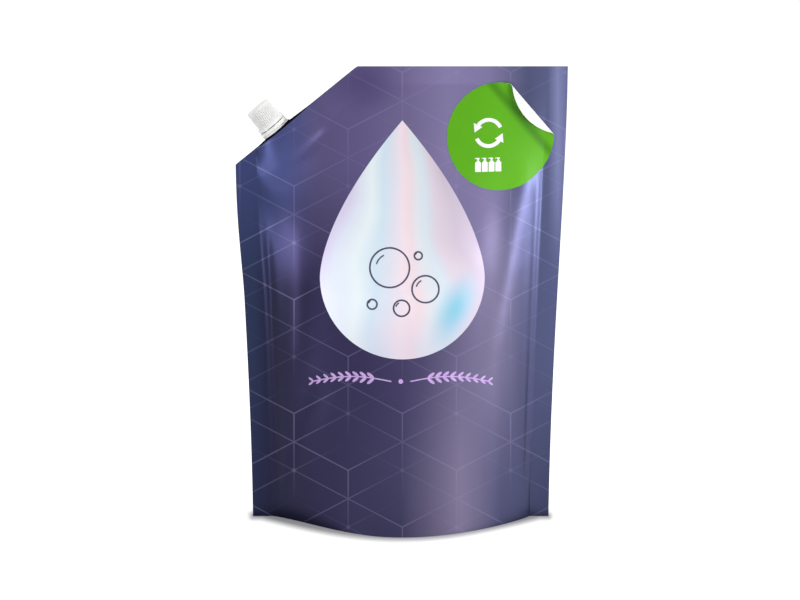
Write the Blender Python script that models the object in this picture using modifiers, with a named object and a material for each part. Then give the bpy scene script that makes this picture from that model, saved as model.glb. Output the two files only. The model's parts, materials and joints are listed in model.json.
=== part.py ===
import math

import bmesh
import bpy
from mathutils import Matrix, Vector

# Film pouch: flat size, cut corner and seals, in metres.
POUCH_WIDTH = 0.210
POUCH_HEIGHT = 0.300
SHOULDER_ACROSS = 0.0775
SHOULDER_DOWN = 0.063
SIDE_SEAL = 0.0135
TOP_SEAL = 0.012
SHOULDER_SEAL = 0.016
SEAL_THICKNESS = 0.0008

# Filled shape of the pouch.
BELLY_DEPTH = 0.0300
FOOT_FLARE = 0.0100
FLARE_HEIGHT = 0.025
SHOULDER_REACH = 0.055
SIDE_DRAW_IN = 0.84
SHOULDER_STIFF_REACH = 0.090
LENS_POWER = 2.2
BELLY_POWER = 0.9
FOOT_POWER_LEFT = 1.25
FOOT_POWER_RIGHT = 0.85

# Folds the film takes: (across, height) at the foot and the head, depth out of the film, half width.
FOLDS = {
    "right_seal_valley": ((0.0885, 0.030), (0.0895, 0.230), -0.0011, 0.0022),
    "left_seal_valley": ((-0.0870, 0.020), (-0.0880, 0.195), -0.0012, 0.0034),
    "right_ridge": ((0.0640, 0.110), (0.0805, 0.235), 0.0016, 0.0090),
    "left_ridge": ((-0.0735, 0.105), (-0.0640, 0.205), 0.0013, 0.0085),
    "right_foot_pleat": ((0.0760, 0.022), (0.0650, 0.100), -0.0011, 0.0055),
    "left_foot_pleat": ((-0.0790, 0.022), (-0.0560, 0.090), -0.0012, 0.0060),
}
FOLD_FADE = 0.030
FOLD_FULL_AT = 0.003
GROOVE_INSET = 0.0045
GROOVE_DEPTH = 0.0010
GROOVE_HALF_WIDTH = 0.0035
GROOVE_START = -0.012
GROOVE_END = 0.060
GROOVE_FADE = 0.018

# Bottom gusset behind the skirt.
SKIRT_THICKNESS = 0.0009
GUSSET_MIDDLE_HEIGHT = 0.0035
GUSSET_SIDE_RISE = 0.0015
GUSSET_SEAL_POWER = 10
REST_PATCH_ALONG = 0.45
REST_PATCH_ACROSS = 0.45
GUSSET_PARTS = (0.0, REST_PATCH_ACROSS, 0.6, 0.75, 0.9, 1.0)

# Spout: w runs out along its axis from the film's slanted edge.
CLEARANCE = 0.0003
SPOUT_ALONG = 0.0345
WELD_DEPTH = 0.014
WELD_HALF_LENGTH = 0.017
WELD_WALL = 0.0013
WELD_RIB = 0.0004
WELD_RIB_COUNT = 5
WELD_RIB_SHARE = 0.7
FILM_WALL = 0.0010
SWELL_PAST_WELD = 0.0155
SWELL_FADE = 0.0400
SWELL_POWER = 1.7
SWELL_SEAL_POWER = 24
TAB_RISE = 0.0009
TAB_HALF_LENGTH = 0.0092
TAB_END = 0.0005
FLANGE_THICKNESS = 0.0010
FLANGE_LENGTH = 0.0194
FLANGE_WIDTH = 0.0170
BORE_RADIUS = 0.0052
BORE_OVERSHOOT = 0.0020
NECK_WALL = 0.0011
NECK_HEIGHT = 0.0121
COLLAR_STEP = 0.0012
COLLAR_HEIGHT = 0.0014
BEAD_STEP = 0.0007
BEAD_HEIGHT = 0.0007
THREAD_DEPTH = 0.0005

# Tamper band under the cap.
BAND_WALL = 0.0011
BAND_PAST_BEAD = 0.0004
NIB_COUNT = 8
NIB_WIDTH = 0.0009
NIB_HEIGHT = 0.0003
NIB_WALL_SHARE = 0.7

# Ribbed screw cap.
TEAR_GAP = 0.0006
CAP_WALL = 0.0010
CAP_TAPER = 0.0005
CAP_RIM_LIP = 0.0009
CAP_RIM_HEIGHT = 0.0026
CAP_HEAD_ROOM = 0.0018
CAP_EDGE = 0.0006
RIB_HEAD_DROP = 0.0012
CAP_CEILING = 0.0016
RIB_COUNT = 40
RIB_DEPTH = 0.0004
PLUG_LENGTH = 0.0013
PLUG_WALL = 0.0008
PLUG_CLEARANCE = 0.0006

# Round promotion sticker with one corner curling off the film.
STICKER_RADIUS = 0.0339
STICKER_SIDE_MARGIN = 0.0081
STICKER_TOP_MARGIN = 0.0101
STICKER_THICKNESS = 0.0003
STICKER_GAP = 0.00045
STICKER_PEEL = 0.0091
STICKER_CURL_RADIUS = 0.0014
STICKER_FOLD_ANGLE = 40.7

# How finely the forms are divided.
CREASE_ZONE = 0.0075
CREASE_STEP = 0.0015
RIDGE_ZONE = 0.0355
FINE_STEP = 0.0034
COARSE_STEP = 0.0078
BODY_ROWS = 32
ROW_CROWDING = 0.085
ROUND_STEPS = 48
BOAT_STEPS = 9
STICKER_ROWS = 8
STICKER_FLAT_ROWS = 4
STICKER_COLUMNS = 18
SHARP_ANGLE = 35
MERGE_DISTANCE = 0.000001
FLAT_DISTANCE = 0.0000001
JOIN_DISTANCE = 0.00001

# Finishes: colour as linear values, roughness and metallic share.
FILM_FINISH = ((0.10, 0.08, 0.20, 1.0), 0.32, 0.6)
SPOUT_FINISH = ((0.80, 0.80, 0.80, 1.0), 0.4, 0.0)
CAP_FINISH = ((0.86, 0.86, 0.86, 1.0), 0.35, 0.0)
STICKER_FINISH = ((0.13, 0.43, 0.02, 1.0), 0.4, 0.0)

# Sizes worked out from the ones above.
HALF_WIDTH = POUCH_WIDTH / 2
INNER_HALF_WIDTH = HALF_WIDTH - SIDE_SEAL
SHOULDER_X = -HALF_WIDTH + SHOULDER_ACROSS
SHOULDER_Z = POUCH_HEIGHT - SHOULDER_DOWN
SHOULDER_ANGLE = math.atan2(SHOULDER_DOWN, SHOULDER_ACROSS)
EDGE_WAY = Vector((math.cos(SHOULDER_ANGLE), 0.0, math.sin(SHOULDER_ANGLE)))
SPOUT_AXIS = Vector((-math.sin(SHOULDER_ANGLE), 0.0, math.cos(SHOULDER_ANGLE)))
LOWER_CORNER = Vector((-HALF_WIDTH, 0.0, SHOULDER_Z))
SPOUT_PLACE = LOWER_CORNER + EDGE_WAY * SPOUT_ALONG
STICKER_X = HALF_WIDTH - STICKER_SIDE_MARGIN - STICKER_RADIUS
STICKER_Z = POUCH_HEIGHT - STICKER_TOP_MARGIN - STICKER_RADIUS
STICKER_FOLD = STICKER_RADIUS - STICKER_PEEL
WELD_HALF_THICKNESS = BORE_RADIUS + WELD_WALL
NECK_RADIUS = BORE_RADIUS + NECK_WALL
COLLAR_RADIUS = NECK_RADIUS + COLLAR_STEP
BEAD_RADIUS = COLLAR_RADIUS + BEAD_STEP
THREAD_RADIUS = NECK_RADIUS + THREAD_DEPTH
FLANGE_BASE = TAB_RISE + CLEARANCE
FLANGE_TOP = FLANGE_BASE + FLANGE_THICKNESS
COLLAR_TOP = FLANGE_TOP + COLLAR_HEIGHT
BEAD_TOP = COLLAR_TOP + BEAD_HEIGHT
NECK_TOP = BEAD_TOP + NECK_HEIGHT
BAND_BASE = FLANGE_TOP + CLEARANCE
BAND_TOP = BEAD_TOP + BAND_PAST_BEAD
BAND_BORE = BEAD_RADIUS + CLEARANCE
BAND_RADIUS = BAND_BORE + BAND_WALL
HOOK_BORE = COLLAR_RADIUS + CLEARANCE
HOOK_TOP = COLLAR_TOP - CLEARANCE
CAP_BASE = BAND_TOP + TEAR_GAP
CAP_CEILING_W = NECK_TOP + CAP_HEAD_ROOM
CAP_TOP = CAP_CEILING_W + CAP_CEILING
CAP_BORE = THREAD_RADIUS + CLEARANCE
CAP_TOP_RADIUS = CAP_BORE + CAP_WALL
CAP_BASE_RADIUS = CAP_TOP_RADIUS + CAP_TAPER
CAP_RIM_RADIUS = CAP_BASE_RADIUS + CAP_RIM_LIP
PLUG_RADIUS = BORE_RADIUS - PLUG_CLEARANCE
PLUG_END = NECK_TOP - PLUG_LENGTH
POCKET_DEPTH = WELD_DEPTH + CLEARANCE
SWELL = WELD_HALF_THICKNESS + CLEARANCE + FILM_WALL
SWELL_HALF_LENGTH = WELD_HALF_LENGTH + SWELL_PAST_WELD
SPOUT_FRAME = Matrix.Translation(SPOUT_PLACE) @ Matrix.Rotation(-SHOULDER_ANGLE, 4, "Y")


def clear_scene():
    for item in list(bpy.data.objects):
        bpy.data.objects.remove(item)


def new_collection(name):
    group = bpy.data.collections.new(name)
    bpy.context.scene.collection.children.link(group)
    return group


def new_material(name, colour, roughness, metallic):
    material = bpy.data.materials.new(name)
    material.use_nodes = True
    shader = material.node_tree.nodes["Principled BSDF"]
    shader.inputs["Base Color"].default_value = colour
    shader.inputs["Roughness"].default_value = roughness
    shader.inputs["Metallic"].default_value = metallic
    return material


def new_object(name, form, group, material=None):
    mesh = bpy.data.meshes.new(name)
    form.to_mesh(mesh)
    form.free()
    item = bpy.data.objects.new(name, mesh)
    group.objects.link(item)
    if material:
        mesh.materials.append(material)
    return item


def smoothstep(value):
    value = min(max(value, 0.0), 1.0)
    return value * value * (3.0 - 2.0 * value)


# The pouch's surface, as a rule that its pieces share. A short tab of film rises round the weld base.
def top_height(across):
    slope = SHOULDER_DOWN / SHOULDER_ACROSS
    edge = min(POUCH_HEIGHT, SHOULDER_Z + (across + HALF_WIDTH) * slope)
    along = abs(across - SPOUT_PLACE.x) / math.cos(SHOULDER_ANGLE)
    tab = min(max((TAB_HALF_LENGTH + TAB_END - along) / TAB_END, 0.0), 1.0)
    return edge + tab * TAB_RISE / math.cos(SHOULDER_ANGLE)


def belly_depth(height):
    share = min(height / (POUCH_HEIGHT - TOP_SEAL), 1.0)
    return BELLY_DEPTH * (1.0 - share ** 2) ** BELLY_POWER


def half_width(across, height):
    draw = SIDE_DRAW_IN * belly_depth(height) ** 2 / HALF_WIDTH
    if across < 0.0:
        draw *= smoothstep((SHOULDER_Z - height) / SHOULDER_STIFF_REACH)
    return HALF_WIDTH - draw


def spout_place_of(across, height):
    offset = Vector((across, 0.0, height)) - SPOUT_PLACE
    return offset.dot(EDGE_WAY), offset.dot(SPOUT_AXIS)


def spout_swell(across, height):
    along, out = spout_place_of(across, height)
    bow = max(0.0, 1.0 - (along / SWELL_HALF_LENGTH) ** 2) ** SWELL_POWER
    fade = 1.0 - smoothstep((-out - POCKET_DEPTH - FILM_WALL) / SWELL_FADE)
    return SWELL * bow * fade


def fold_line(offset, half_wide):
    return math.exp(-(offset / half_wide) ** 2)


def fold_relief(across, height):
    relief = 0.0
    for (foot_across, foot), (head_across, head), depth, half_wide in FOLDS.values():
        share = min(max((height - foot) / (head - foot), 0.0), 1.0)
        centre = foot_across + (head_across - foot_across) * share
        ends = smoothstep((height - foot) / FOLD_FADE + 0.5)
        ends *= smoothstep((head - height) / FOLD_FADE + 0.5)
        relief += depth * ends * fold_line(across - centre, half_wide)
    along, out = spout_place_of(across, height)
    ends = smoothstep((along - GROOVE_START) / GROOVE_FADE)
    ends *= smoothstep((GROOVE_END - along) / GROOVE_FADE)
    inside = -out - SHOULDER_SEAL - GROOVE_INSET
    return relief - GROOVE_DEPTH * ends * fold_line(inside, GROOVE_HALF_WIDTH)


def half_thickness(across, height):
    share = min(abs(across) / INNER_HALF_WIDTH, 1.0)
    lens = 1.0 - share ** LENS_POWER
    power = FOOT_POWER_LEFT if across < 0.0 else FOOT_POWER_RIGHT
    foot = max(0.0, math.cos(math.pi / 2 * share)) ** power
    near_floor = math.exp(-height / FLARE_HEIGHT)
    section = lens * (1.0 - near_floor) + foot * near_floor
    depth = belly_depth(height) * section + FOOT_FLARE * near_floor * foot
    out = spout_place_of(across, height)[1]
    reach = min(max((-out - SHOULDER_SEAL) / SHOULDER_REACH, 0.0), 1.0)
    filled = depth * (1.0 - (1.0 - reach) ** LENS_POWER)
    swell = spout_swell(across, height) * (1.0 - share ** SWELL_SEAL_POWER)
    full = math.hypot(filled, swell)
    relief = fold_relief(across, height) * smoothstep(full / FOLD_FULL_AT)
    return SEAL_THICKNESS / 2 + full + relief


def film_point(across, height):
    sideways = across * half_width(across, height) / HALF_WIDTH
    return Vector((sideways, -half_thickness(across, height), height))


# Places of the grid's columns and rows.
def spread(start, end, step):
    count = max(1, round(abs(end - start) / step))
    return [start + (end - start) * index / count for index in range(count)]


def column_places():
    spout_end = SPOUT_PLACE.x + SWELL_HALF_LENGTH
    crease = INNER_HALF_WIDTH - CREASE_ZONE
    ridge = INNER_HALF_WIDTH - RIDGE_ZONE
    places = [-HALF_WIDTH]
    places += spread(-INNER_HALF_WIDTH, -crease, CREASE_STEP)
    places += spread(-crease, spout_end, FINE_STEP)
    places += spread(spout_end, SHOULDER_X, COARSE_STEP)
    places += spread(SHOULDER_X, ridge, COARSE_STEP)
    places += spread(ridge, crease, FINE_STEP)
    places += spread(crease, INNER_HALF_WIDTH, CREASE_STEP)
    places += [INNER_HALF_WIDTH, HALF_WIDTH]
    for reach in (TAB_HALF_LENGTH, TAB_HALF_LENGTH + TAB_END):
        places.append(SPOUT_PLACE.x - reach * math.cos(SHOULDER_ANGLE))
        places.append(SPOUT_PLACE.x + reach * math.cos(SHOULDER_ANGLE))
    return sorted(places)


def row_heights(across):
    top = top_height(across)
    on_slope = across < SHOULDER_X
    seal = SHOULDER_SEAL / math.cos(SHOULDER_ANGLE) if on_slope else TOP_SEAL
    heights = []
    for index in range(BODY_ROWS + 1):
        share = index / BODY_ROWS
        share -= ROW_CROWDING * math.sin(2 * math.pi * share)
        heights.append(share * (top - seal))
    return heights + [top - seal / 2, top]


def gusset_column(across):
    share = min(abs(across) / INNER_HALF_WIDTH, 1.0)
    rise = (GUSSET_MIDDLE_HEIGHT + GUSSET_SIDE_RISE * share ** 2) * (1.0 - share ** GUSSET_SEAL_POWER)
    rim = film_point(across, 0.0)
    upper = film_point(across, rise)
    skirt = min(SKIRT_THICKNESS, -rim.y / 2)
    low = rise * smoothstep((share - REST_PATCH_ALONG) / (1.0 - REST_PATCH_ALONG))
    points = []
    for part in GUSSET_PARTS:
        lift = smoothstep((part - REST_PATCH_ACROSS) / (1.0 - REST_PATCH_ACROSS))
        inner = (upper.y + skirt) * part
        points.append(Vector((rim.x, inner, low + (rise - low) * lift)))
    points.append(Vector((rim.x, rim.y + skirt, 0.0)))
    if share >= 1.0:
        points = [Vector((rim.x, 0.0, 0.0))] + [rim] * (len(points) - 1)
    return points


def pouch_column(across):
    points = gusset_column(across)
    points += [film_point(across, height) for height in row_heights(across)]
    points.append(Vector((points[-1].x, 0.0, points[-1].z)))
    return points


def to_middle(points):
    return [Vector((point.x, 0.0, point.z)) for point in points]


def pouch_half():
    columns = [pouch_column(across) for across in column_places()]
    columns = [to_middle(columns[0])] + columns + [to_middle(columns[-1])]
    form = bmesh.new()
    rows = len(columns[0])
    grid = [[form.verts.new(point) for point in column] for column in columns]
    for left, right in zip(grid, grid[1:]):
        for row in range(rows - 1):
            form.faces.new((left[row], right[row], right[row + 1], left[row + 1]))
    bmesh.ops.remove_doubles(form, verts=form.verts[:], dist=MERGE_DISTANCE)
    bmesh.ops.dissolve_degenerate(form, dist=FLAT_DISTANCE, edges=form.edges[:])
    return form


# The spout's weld base is a pointed boat, and so is the pocket that holds it.
def boat_outline(half_length, half_thick):
    points = []
    for side in (1, -1):
        for index in range(BOAT_STEPS):
            along = side * half_length * math.cos(math.pi * index / BOAT_STEPS)
            bow = 1.0 - (along / half_length) ** 2
            points.append((along, side * half_thick * bow))
    return points


def boat_form(sections):
    form = bmesh.new()
    rings = []
    for level, half_length, half_thick in sections:
        outline = boat_outline(half_length, half_thick)
        rings.append([form.verts.new((x, y, level)) for x, y in outline])
    for low, high in zip(rings, rings[1:]):
        for index in range(len(low)):
            after = (index + 1) % len(low)
            form.faces.new((low[index], low[after], high[after], high[index]))
    form.faces.new(rings[0][::-1])
    form.faces.new(rings[-1])
    bmesh.ops.recalc_face_normals(form, faces=form.faces[:])
    return form


def weld_base_form():
    sections = []
    step = WELD_DEPTH / (2 * WELD_RIB_COUNT)
    for index in range(2 * WELD_RIB_COUNT):
        inset = WELD_RIB if index % 2 else 0.0
        thick = WELD_HALF_THICKNESS - inset
        long = WELD_HALF_LENGTH - inset
        sections.append((-WELD_DEPTH + index * step, long, thick))
        sections.append((-WELD_DEPTH + (index + WELD_RIB_SHARE) * step, long, thick))
    sections.append((-CLEARANCE, WELD_HALF_LENGTH, WELD_HALF_THICKNESS))
    sections.append((0.0, FLANGE_LENGTH / 2 - WELD_RIB, WELD_HALF_THICKNESS))
    sections.append((FLANGE_BASE + FLANGE_THICKNESS / 2, FLANGE_LENGTH / 2 - WELD_RIB, WELD_HALF_THICKNESS))
    return boat_form(sections)


def pocket_form():
    long = WELD_HALF_LENGTH + CLEARANCE
    thick = WELD_HALF_THICKNESS + CLEARANCE
    return boat_form([(-POCKET_DEPTH, long, thick), (POCKET_DEPTH, long, thick)])


# Turned pieces: a profile down the outer side, swept about the spout's axis.
def turned(name, profile, group, material, closed, steps=ROUND_STEPS):
    form = bmesh.new()
    points = [form.verts.new((radius, 0.0, level)) for radius, level in profile]
    for first, second in zip(points, points[1:]):
        form.edges.new((first, second))
    if closed:
        form.edges.new((points[-1], points[0]))
    item = new_object(name, form, group, material)
    sweep = item.modifiers.new("Sweep", "SCREW")
    sweep.steps = steps
    sweep.render_steps = steps
    sweep.use_merge_vertices = True
    sweep.merge_threshold = JOIN_DISTANCE
    item.matrix_world = SPOUT_FRAME
    return item


def join_to(item, other, operation):
    join = item.modifiers.new(operation.title(), "BOOLEAN")
    join.operation = operation
    join.solver = "EXACT"
    join.object = other
    return join


def hide_cutter(item):
    item.hide_render = True
    item.display_type = "WIRE"


def settled(item):
    graph = bpy.context.evaluated_depsgraph_get()
    mesh = bpy.data.meshes.new_from_object(item.evaluated_get(graph))
    item.modifiers.clear()
    item.data = mesh
    return mesh


def make_pouch(group, cutters, material):
    pouch = new_object("pouch", pouch_half(), group, material)
    other_half = pouch.modifiers.new("Back", "MIRROR")
    other_half.use_axis = (False, True, False)
    other_half.merge_threshold = JOIN_DISTANCE
    pocket = new_object("weld_pocket", pocket_form(), cutters)
    pocket.matrix_world = SPOUT_FRAME
    hide_cutter(pocket)
    join_to(pouch, pocket, "DIFFERENCE")
    return pouch


def make_spout(group, cutters, material):
    profile = [
        (0.0, NECK_TOP),
        (NECK_RADIUS, NECK_TOP),
        (NECK_RADIUS, BEAD_TOP),
        (BEAD_RADIUS, BEAD_TOP),
        (BEAD_RADIUS, COLLAR_TOP),
        (COLLAR_RADIUS, COLLAR_TOP),
        (COLLAR_RADIUS, FLANGE_BASE + FLANGE_THICKNESS / 2),
        (0.0, FLANGE_BASE + FLANGE_THICKNESS / 2),
    ]
    spout = turned("spout", profile, group, material, False)
    base = new_object("weld_base", weld_base_form(), cutters)
    bpy.ops.mesh.primitive_cylinder_add(vertices=ROUND_STEPS, radius=0.5, depth=FLANGE_THICKNESS)
    flange = bpy.context.object
    flange.name = "flange_plate"
    flange.data.transform(Matrix.Diagonal((FLANGE_LENGTH, FLANGE_WIDTH, 1.0, 1.0)))
    flange.data.transform(Matrix.Translation((0.0, 0.0, FLANGE_BASE + FLANGE_THICKNESS / 2)))
    bore_length = NECK_TOP + WELD_DEPTH + 2 * BORE_OVERSHOOT
    bpy.ops.mesh.primitive_cylinder_add(vertices=ROUND_STEPS, radius=BORE_RADIUS, depth=bore_length)
    bore = bpy.context.object
    bore.name = "spout_bore"
    bore.data.transform(Matrix.Translation((0.0, 0.0, (NECK_TOP - WELD_DEPTH) / 2)))
    for helper in (flange, bore):
        for owner in list(helper.users_collection):
            owner.objects.unlink(helper)
        cutters.objects.link(helper)
    for helper in (base, flange, bore):
        helper.matrix_world = SPOUT_FRAME
        hide_cutter(helper)
    join_to(spout, base, "UNION")
    join_to(spout, flange, "UNION")
    join_to(spout, bore, "DIFFERENCE")
    return spout


def make_band(group, cutters, material):
    profile = [
        (BAND_RADIUS, BAND_TOP),
        (BAND_RADIUS, BAND_BASE),
        (HOOK_BORE, BAND_BASE),
        (HOOK_BORE, HOOK_TOP),
        (BAND_BORE, HOOK_TOP),
        (BAND_BORE, BAND_TOP),
    ]
    band = turned("tamper_band", profile, group, material, True)
    reach = (BAND_BORE + BAND_RADIUS) / 2
    deep = BAND_WALL * NIB_WALL_SHARE
    form = bmesh.new()
    for index in range(NIB_COUNT):
        turn = Matrix.Rotation(2 * math.pi * (index + 0.5) / NIB_COUNT, 4, "Z")
        size = Matrix.Diagonal((deep, NIB_WIDTH, 2 * NIB_HEIGHT, 1.0))
        place = turn @ Matrix.Translation((reach, 0.0, BAND_TOP)) @ size
        bmesh.ops.create_cube(form, size=1.0, matrix=place)
    nibs = new_object("tear_nibs", form, cutters)
    nibs.matrix_world = SPOUT_FRAME
    hide_cutter(nibs)
    join_to(band, nibs, "UNION")
    return band


def make_cap(group, cutters, material):
    rib_foot = CAP_BASE + CAP_RIM_HEIGHT
    rib_head = CAP_TOP - RIB_HEAD_DROP
    round_off = CAP_EDGE * (1.0 - math.sqrt(0.5))
    profile = [
        (0.0, CAP_TOP),
        (CAP_TOP_RADIUS - CAP_EDGE, CAP_TOP),
        (CAP_TOP_RADIUS - round_off, CAP_TOP - round_off),
        (CAP_TOP_RADIUS, CAP_TOP - CAP_EDGE),
        (CAP_TOP_RADIUS, rib_head),
        (CAP_BASE_RADIUS, rib_foot + CAP_EDGE),
        (CAP_BASE_RADIUS, rib_foot),
        (CAP_RIM_RADIUS, rib_foot - CAP_EDGE),
        (CAP_RIM_RADIUS, CAP_BASE),
        (0.0, CAP_BASE),
    ]
    cap = turned("cap", profile, group, material, False, 2 * RIB_COUNT)
    mesh = settled(cap)
    for vertex in mesh.vertices:
        radius = math.hypot(vertex.co.x, vertex.co.y)
        turn = math.atan2(vertex.co.y, vertex.co.x) % (2 * math.pi)
        line = round(turn * RIB_COUNT / math.pi)
        in_zone = rib_foot + MERGE_DISTANCE < vertex.co.z < rib_head + MERGE_DISTANCE and radius > CAP_BORE
        if in_zone and line % 2:
            vertex.co.x *= 1.0 - RIB_DEPTH / radius
            vertex.co.y *= 1.0 - RIB_DEPTH / radius
    hollow_profile = [
        (0.0, CAP_CEILING_W),
        (PLUG_RADIUS - PLUG_WALL, CAP_CEILING_W),
        (PLUG_RADIUS - PLUG_WALL, PLUG_END),
        (PLUG_RADIUS, PLUG_END),
        (PLUG_RADIUS, CAP_CEILING_W),
        (CAP_BORE, CAP_CEILING_W),
        (CAP_BORE, CAP_BASE - CAP_RIM_HEIGHT),
        (0.0, CAP_BASE - CAP_RIM_HEIGHT),
    ]
    hollow = turned("cap_hollow", hollow_profile, cutters, None, False)
    hide_cutter(hollow)
    join_to(cap, hollow, "DIFFERENCE")
    return cap


# The sticker follows the film, and past its fold line it rolls back on itself.
def sticker_point(across, upward):
    turn = math.radians(STICKER_FOLD_ANGLE)
    way = Vector((math.cos(turn), math.sin(turn)))
    flat = Vector((across, upward))
    past = flat.dot(way) - STICKER_FOLD
    lift = 0.0
    if past > 0.0:
        bend = min(past / STICKER_CURL_RADIUS, math.pi)
        rest = max(0.0, past - math.pi * STICKER_CURL_RADIUS)
        flat += way * (STICKER_CURL_RADIUS * math.sin(bend) - rest - past)
        lift = STICKER_CURL_RADIUS * (1.0 - math.cos(bend))
    height = STICKER_Z + flat.y
    sideways = STICKER_X + flat.x
    film = film_point(sideways * HALF_WIDTH / half_width(sideways, height), height)
    return Vector((sideways, film.y - STICKER_GAP - lift, height))


def sticker_lines():
    lines = []
    for index in range(STICKER_ROWS):
        share = index / STICKER_ROWS
        lines.append(-STICKER_RADIUS * math.cos(math.pi / 2 * share))
    lines += spread(0.0, STICKER_FOLD, STICKER_FOLD / STICKER_FLAT_ROWS)
    lines += spread(STICKER_FOLD, STICKER_RADIUS, STICKER_CURL_RADIUS / 2)
    return lines + [STICKER_RADIUS]


def sticker_form():
    turn = math.radians(STICKER_FOLD_ANGLE)
    form = bmesh.new()
    rows = []
    for past in sticker_lines():
        half_chord = math.sqrt(max(0.0, STICKER_RADIUS ** 2 - past ** 2))
        row = []
        for index in range(STICKER_COLUMNS + 1):
            along = -half_chord * math.cos(math.pi * index / STICKER_COLUMNS)
            across = past * math.cos(turn) - along * math.sin(turn)
            upward = past * math.sin(turn) + along * math.cos(turn)
            row.append(form.verts.new(sticker_point(across, upward)))
        rows.append(row)
    for near, far in zip(rows, rows[1:]):
        for index in range(STICKER_COLUMNS):
            form.faces.new((near[index], far[index], far[index + 1], near[index + 1]))
    bmesh.ops.remove_doubles(form, verts=form.verts[:], dist=MERGE_DISTANCE)
    return form


def make_sticker(group, material):
    sticker = new_object("refill_sticker", sticker_form(), group, material)
    sheet = sticker.modifiers.new("Thickness", "SOLIDIFY")
    sheet.thickness = STICKER_THICKNESS
    sheet.offset = 1.0
    return sticker


def make_refill_pack():
    clear_scene()
    group = new_collection("hand_soap_refill_pack")
    cutters = new_collection("cutters")
    film = new_material("satin_film", *FILM_FINISH)
    spout_plastic = new_material("spout_plastic", *SPOUT_FINISH)
    cap_plastic = new_material("cap_plastic", *CAP_FINISH)
    sticker_paper = new_material("sticker_paper", *STICKER_FINISH)
    pieces = [
        make_pouch(group, cutters, film),
        make_spout(group, cutters, spout_plastic),
        make_band(group, cutters, cap_plastic),
        make_cap(group, cutters, cap_plastic),
        make_sticker(group, sticker_paper),
    ]
    for piece in pieces:
        piece.data.shade_smooth()
        piece.data.set_sharp_from_angle(angle=math.radians(SHARP_ANGLE))


make_refill_pack()
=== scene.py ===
import json
import math

import bmesh
import bpy
import numpy as np
from mathutils import Matrix, Vector, noise


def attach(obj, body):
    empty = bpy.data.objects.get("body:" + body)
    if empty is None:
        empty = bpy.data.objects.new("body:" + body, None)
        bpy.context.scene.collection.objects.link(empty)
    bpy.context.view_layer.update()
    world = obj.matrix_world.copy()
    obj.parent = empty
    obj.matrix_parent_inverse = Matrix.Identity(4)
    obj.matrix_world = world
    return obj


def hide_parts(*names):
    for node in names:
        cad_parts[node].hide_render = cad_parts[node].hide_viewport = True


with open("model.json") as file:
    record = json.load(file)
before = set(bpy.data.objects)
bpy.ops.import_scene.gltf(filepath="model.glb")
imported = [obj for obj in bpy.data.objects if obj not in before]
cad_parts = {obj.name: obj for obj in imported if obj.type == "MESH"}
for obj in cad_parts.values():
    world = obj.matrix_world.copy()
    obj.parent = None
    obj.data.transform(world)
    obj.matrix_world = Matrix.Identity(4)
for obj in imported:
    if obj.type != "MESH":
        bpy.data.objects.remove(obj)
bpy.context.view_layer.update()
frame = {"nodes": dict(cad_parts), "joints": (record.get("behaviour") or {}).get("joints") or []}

weldGap = 0.000001       # points closer than this are one


def deselectAll():
    if bpy.context.object and bpy.context.object.mode != "OBJECT":
        bpy.ops.object.mode_set(mode="OBJECT")
    bpy.ops.object.select_all(action="DESELECT")


def pickOnly(*objects):
    deselectAll()
    for item in objects:
        item.select_set(True)
    bpy.context.view_layer.objects.active = objects[0]


def hexColour(text):
    linear = []
    for start in (1, 3, 5):
        value = int(text[start:start + 2], 16) / 255
        linear.append(value / 12.92 if value <= 0.04045 else ((value + 0.055) / 1.055) ** 2.4)
    return (*linear, 1.0)


def feedNode(tree, node, feeds):
    # a feed is a node, one of its outputs or a plain value
    for key, feed in feeds.items():
        if isinstance(feed, bpy.types.Node):
            feed = feed.outputs[0]
        if isinstance(feed, bpy.types.NodeSocket):
            tree.links.new(feed, node.inputs[key])
        else:
            node.inputs[key].default_value = feed


def addNode(tree, kind, settings=None, feeds=None):
    node = tree.nodes.new(kind)
    for name, value in (settings or {}).items():
        setattr(node, name, value)
    feedNode(tree, node, feeds or {})
    return node


def newMaterial(name):
    material = bpy.data.materials.new(name)
    material.use_nodes = True
    tree = material.node_tree
    return material, tree, tree.nodes["Principled BSDF"]


def setRamp(node, stops):
    ramp = node.color_ramp
    while len(ramp.elements) < len(stops):
        ramp.elements.new(0.5)
    for element, (place, colour) in zip(ramp.elements, stops):
        element.position = place
        element.color = hexColour(colour)


def softSpot(tree, where, centre, size, turn, strength):
    # an oval in the print's millimetres, full in its middle and gone at its rim
    way = addNode(tree, "ShaderNodeMapping", {"vector_type": "TEXTURE"},
                  {"Vector": where, "Location": (*centre, 0.0), "Rotation": (0.0, 0.0, math.radians(turn)),
                   "Scale": (*size, 1.0)})
    gap = addNode(tree, "ShaderNodeVectorMath", {"operation": "LENGTH"}, {0: way})
    spot = addNode(tree, "ShaderNodeMapRange", {"interpolation_type": "SMOOTHSTEP"},
                   {"Value": gap.outputs["Value"], "To Min": strength, "To Max": 0.0})
    return spot.outputs[0]


def mottledTint(tree, place, scale, detail, stops):
    # a soft cloud between two near colours, so that no face is one flat tone
    cloud = addNode(tree, "ShaderNodeTexNoise", None, {"Vector": place, "Scale": scale, "Detail": detail})
    tint = addNode(tree, "ShaderNodeValToRGB", None, {0: cloud})
    setRamp(tint, stops)
    return cloud, tint


def fineRelief(tree, shader, place, scale, detail, strength, depth):
    grain = addNode(tree, "ShaderNodeTexNoise", None, {"Vector": place, "Scale": scale, "Detail": detail})
    relief = addNode(tree, "ShaderNodeBump", None,
                     {"Height": grain, "Strength": strength, "Distance": depth})
    feedNode(tree, shader, {"Normal": relief})


def readSpots(mesh):
    spots = np.empty(len(mesh.vertices) * 3)
    mesh.vertices.foreach_get("co", spots)
    return spots.reshape(-1, 3)


def smooth(value):
    value = np.clip(value, 0.0, 1.0)
    return value * value * (3.0 - 2.0 * value)


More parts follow.
